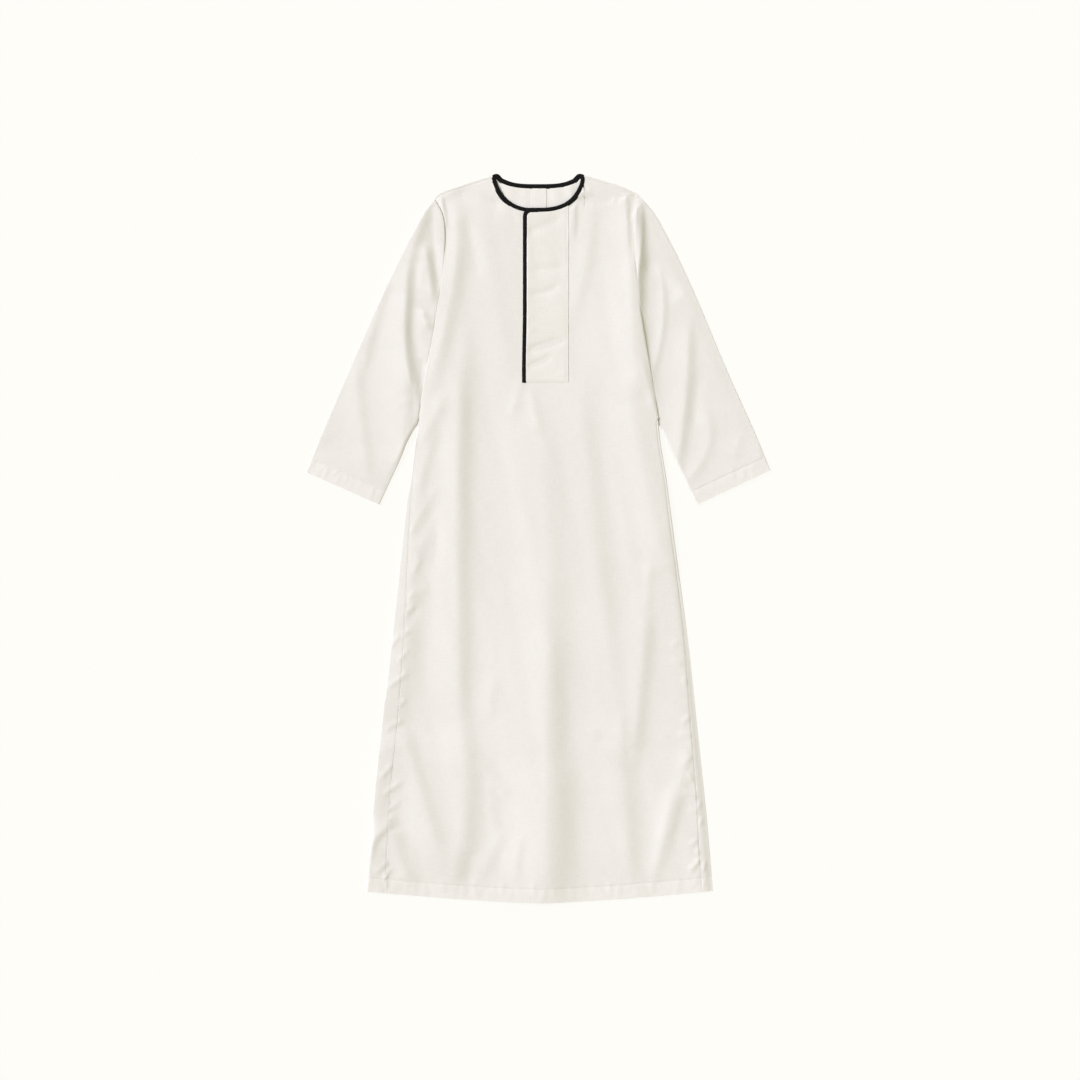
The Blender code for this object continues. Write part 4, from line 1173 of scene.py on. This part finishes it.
def cloth_material(name, colour, sheen):
    """Plain-woven cloth: over-and-under threads, uneven slubs both ways and faint mottling."""
    made, tree, shader = new_material(name, colour, 0.88)
    uv, *runs = cloth_coordinates(tree)
    rate = math.pi / (THREAD_PITCH * MM)
    ups_and_downs = [math_node("SINE", math_node("MULTIPLY", run, rate)) for run in runs]
    weave = math_node("MULTIPLY", *ups_and_downs)
    threads = math_node("ADD", streaks(uv, 2.2, 17), streaks(uv, 17, 2.2))
    mottle = math_node("MULTIPLY", streaks(uv, 38, 55, 3), 0.5)
    tone = {"Value": math_node("ADD", threads, mottle), "From Min": 0.85, "From Max": 1.65}
    tone = add_node(tree, "MapRange", tone)["Result"]
    slubs = mixed(tone, scaled(colour, 1 - SLUB), scaled(colour, 1 + SLUB))
    # How far the colour is painted lighter: on doubled edges, and inside the back's neck.
    painted_lift_share = add_node(tree, "Attribute", {}, attribute_name="painted_lift_share")["Fac"]
    lift = scaled((1, 1, 1), PAINTED_LIFT)
    look = {
        "Base Color": mixed(painted_lift_share, slubs, lift, "MULTIPLY"),
        "Specular IOR Level": 0.25,
        "Sheen Weight": sheen,
        "Sheen Roughness": 0.55,
        "Sheen Tint": (1, 0.97, 0.92, 1),
    }
    set_inputs(shader, look)
    relief = math_node("ADD", math_node("MULTIPLY", weave, 0.35), threads)
    add_relief(shader, relief, 0.5, 0.00022)
    return made


def tape_material(name, colour):
    """Near-black satin ribbon: fine ribs across it, a soft shine and a slight unevenness."""
    made, tree, shader = new_material(name, colour, 0.62)
    uv, across, along = cloth_coordinates(tree)
    slant = math_node("ADD", across, along)
    ribs = math_node("SINE", math_node("MULTIPLY", slant, math.pi / (RIB_PITCH * MM)))
    soft = streaks(uv, 9, 2.4)
    add_relief(shader, math_node("ADD", math_node("MULTIPLY", ribs, 0.3), soft), 0.5, 0.00018)
    rough = add_node(tree, "MapRange", {"Value": soft, "To Min": 0.55, "To Max": 0.8})
    set_inputs(shader, {"Roughness": rough["Result"], "Specular IOR Level": 0.13})
    return made


def thread_material(name, colour, roughness):
    """Sewing thread with the twist of its plies."""
    made, tree, shader = new_material(name, colour, roughness)
    place = add_node(tree, "TexCoord", {})["Object"]
    twist = add_node(tree, "TexWave", {"Vector": place, "Scale": 1400}, bands_direction="DIAGONAL")
    add_relief(shader, twist["Fac"], 0.4, 0.0001)
    return made


# --- The stage ---

LIGHT_LEVEL = 1.03  # what a flat white surface sends back
SUN_SHARE = 0.53
SUN_ELEVATION = math.radians(42)
SUN_AZIMUTH = math.radians(154)  # from the upper left, counted from +X
SUN_SPREAD = math.radians(28)
SUN_COLOUR = (1, 1, 1.24)
FILL_COLOUR = (1, 1, 0.73)  # warmer, as light in the folds of cream cloth is
BACKDROP = (0.991, 0.983, 0.939)
FLOOR_TAKES = 0.07  # share of the floor that takes light, and so shadow
FLOOR_HALF = 40
FLOOR_LEVEL = -0.0003
LENS = 85
SENSOR = 36
FRAME_WIDTH = 2.0736  # of the view at the cloth's height
LOOK_AT = (0.0034, -0.0028)
CLOTH_LEVEL = 0.005


def make_floor():
    mesh = bpy.data.meshes.new("floor")
    turns = ((-1, -1), (1, -1), (1, 1), (-1, 1))
    corners = [(x * FLOOR_HALF, y * FLOOR_HALF, FLOOR_LEVEL) for x, y in turns]
    mesh.from_pydata(corners, [], [range(4)])
    floor = in_scene("floor", mesh)
    made = bpy.data.materials.new("floor_paper")
    made.use_nodes = True
    tree = made.node_tree
    tree.nodes.clear()
    matt = add_node(tree, "BsdfDiffuse", {"Color": scaled(BACKDROP, FLOOR_TAKES)})
    glow = add_node(tree, "Emission", {"Color": scaled(BACKDROP, 1 - FLOOR_TAKES * LIGHT_LEVEL)})
    both = add_node(tree, "AddShader", {0: matt[0], 1: glow[0]})
    add_node(tree, "OutputMaterial", {"Surface": both[0]})
    mesh.materials.append(made)
    floor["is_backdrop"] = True


def make_light():
    """A broad sun from the upper left, and light from all round that fades to the backdrop's."""
    data = bpy.data.lights.new("window", "SUN")
    data.energy = LIGHT_LEVEL * SUN_SHARE * math.pi / math.sin(SUN_ELEVATION)
    data.angle = SUN_SPREAD
    data.color = SUN_COLOUR
    in_scene("window", data).rotation_euler = (0, math.pi / 2 - SUN_ELEVATION, SUN_AZIMUTH)
    world = bpy.data.worlds.new("studio")
    bpy.context.scene.world = world
    world.use_nodes = True
    tree = world.node_tree
    place = add_node(tree, "TexCoord", {})["Generated"]
    up = add_node(tree, "SeparateXYZ", {0: place})["Z"]
    rise = {"Value": up, "From Min": 0.05, "From Max": 0.30}
    rise = add_node(tree, "MapRange", rise, interpolation_type="SMOOTHSTEP")["Result"]
    fill = scaled(FILL_COLOUR, LIGHT_LEVEL * (1 - SUN_SHARE))
    set_inputs(tree.nodes["Background"], {"Color": mixed(rise, scaled(BACKDROP, 1), fill)})


def make_camera():
    data = bpy.data.cameras.new("camera")
    data.lens = LENS
    data.sensor_width = SENSOR
    camera = in_scene("camera", data)
    camera.location = (*LOOK_AT, CLOTH_LEVEL + FRAME_WIDTH * LENS / SENSOR)
    bpy.context.scene.camera = camera
    bpy.context.scene.view_settings.view_transform = "Standard"


# --- The robe ---

CLOTH_COLOUR = (0.823, 0.790, 0.735)
PLACKET_COLOUR = (0.830, 0.797, 0.735)
THREAD_COLOUR = (0.78, 0.74, 0.685)
DARK_THREAD_COLOUR = (0.012, 0.011, 0.010)
TAPE_COLOUR = (0.0042, 0.0040, 0.0036)


def declare(piece, node):
    """Ties a cloth piece to the robe's root and hides the solid that it stands for."""
    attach(piece, "root")
    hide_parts(node)


def make_robe():
    cloth = cloth_material("body_cloth", CLOTH_COLOUR, 0.10)
    front = front_shell(cloth)
    back = back_shell(cloth)
    sleeves = {side: sleeve_shell(side, cloth) for side in SIGN}
    placket = placket_shell(cloth_material("placket_cloth", PLACKET_COLOUR, 0.08))
    strip = neck_strip_shell(cloth)
    tape = binding_piece(tape_material("binding_satin", TAPE_COLOUR))
    thread = thread_material("sewing_thread", THREAD_COLOUR, 0.7)
    dark_thread = thread_material("binding_thread", DARK_THREAD_COLOUR, 0.5)
    rows = {}
    for what, paths in stitch_paths().items():
        on_tape = what == "binding"
        look = (dark_thread, 0.02, 0.26) if on_tape else (thread,)
        rows[what] = stitches(f"stitches_{what}", paths, *look)
        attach(rows[what], "root")
    declare(front, "front_panel")
    declare(back, "back_panel")
    for side, sleeve in sleeves.items():
        declare(sleeve, f"sleeve_{side}")
    declare(placket, "placket")
    declare(strip, "back_neck_strip")
    declare(tape, "neck_binding")


make_camera()
make_light()
make_floor()
make_robe()

VISUAL_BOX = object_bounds()
boxes = {"cad": CAD_BOX, "visual": VISUAL_BOX}
{name: [list(corner) for corner in box] for name, box in boxes.items()}
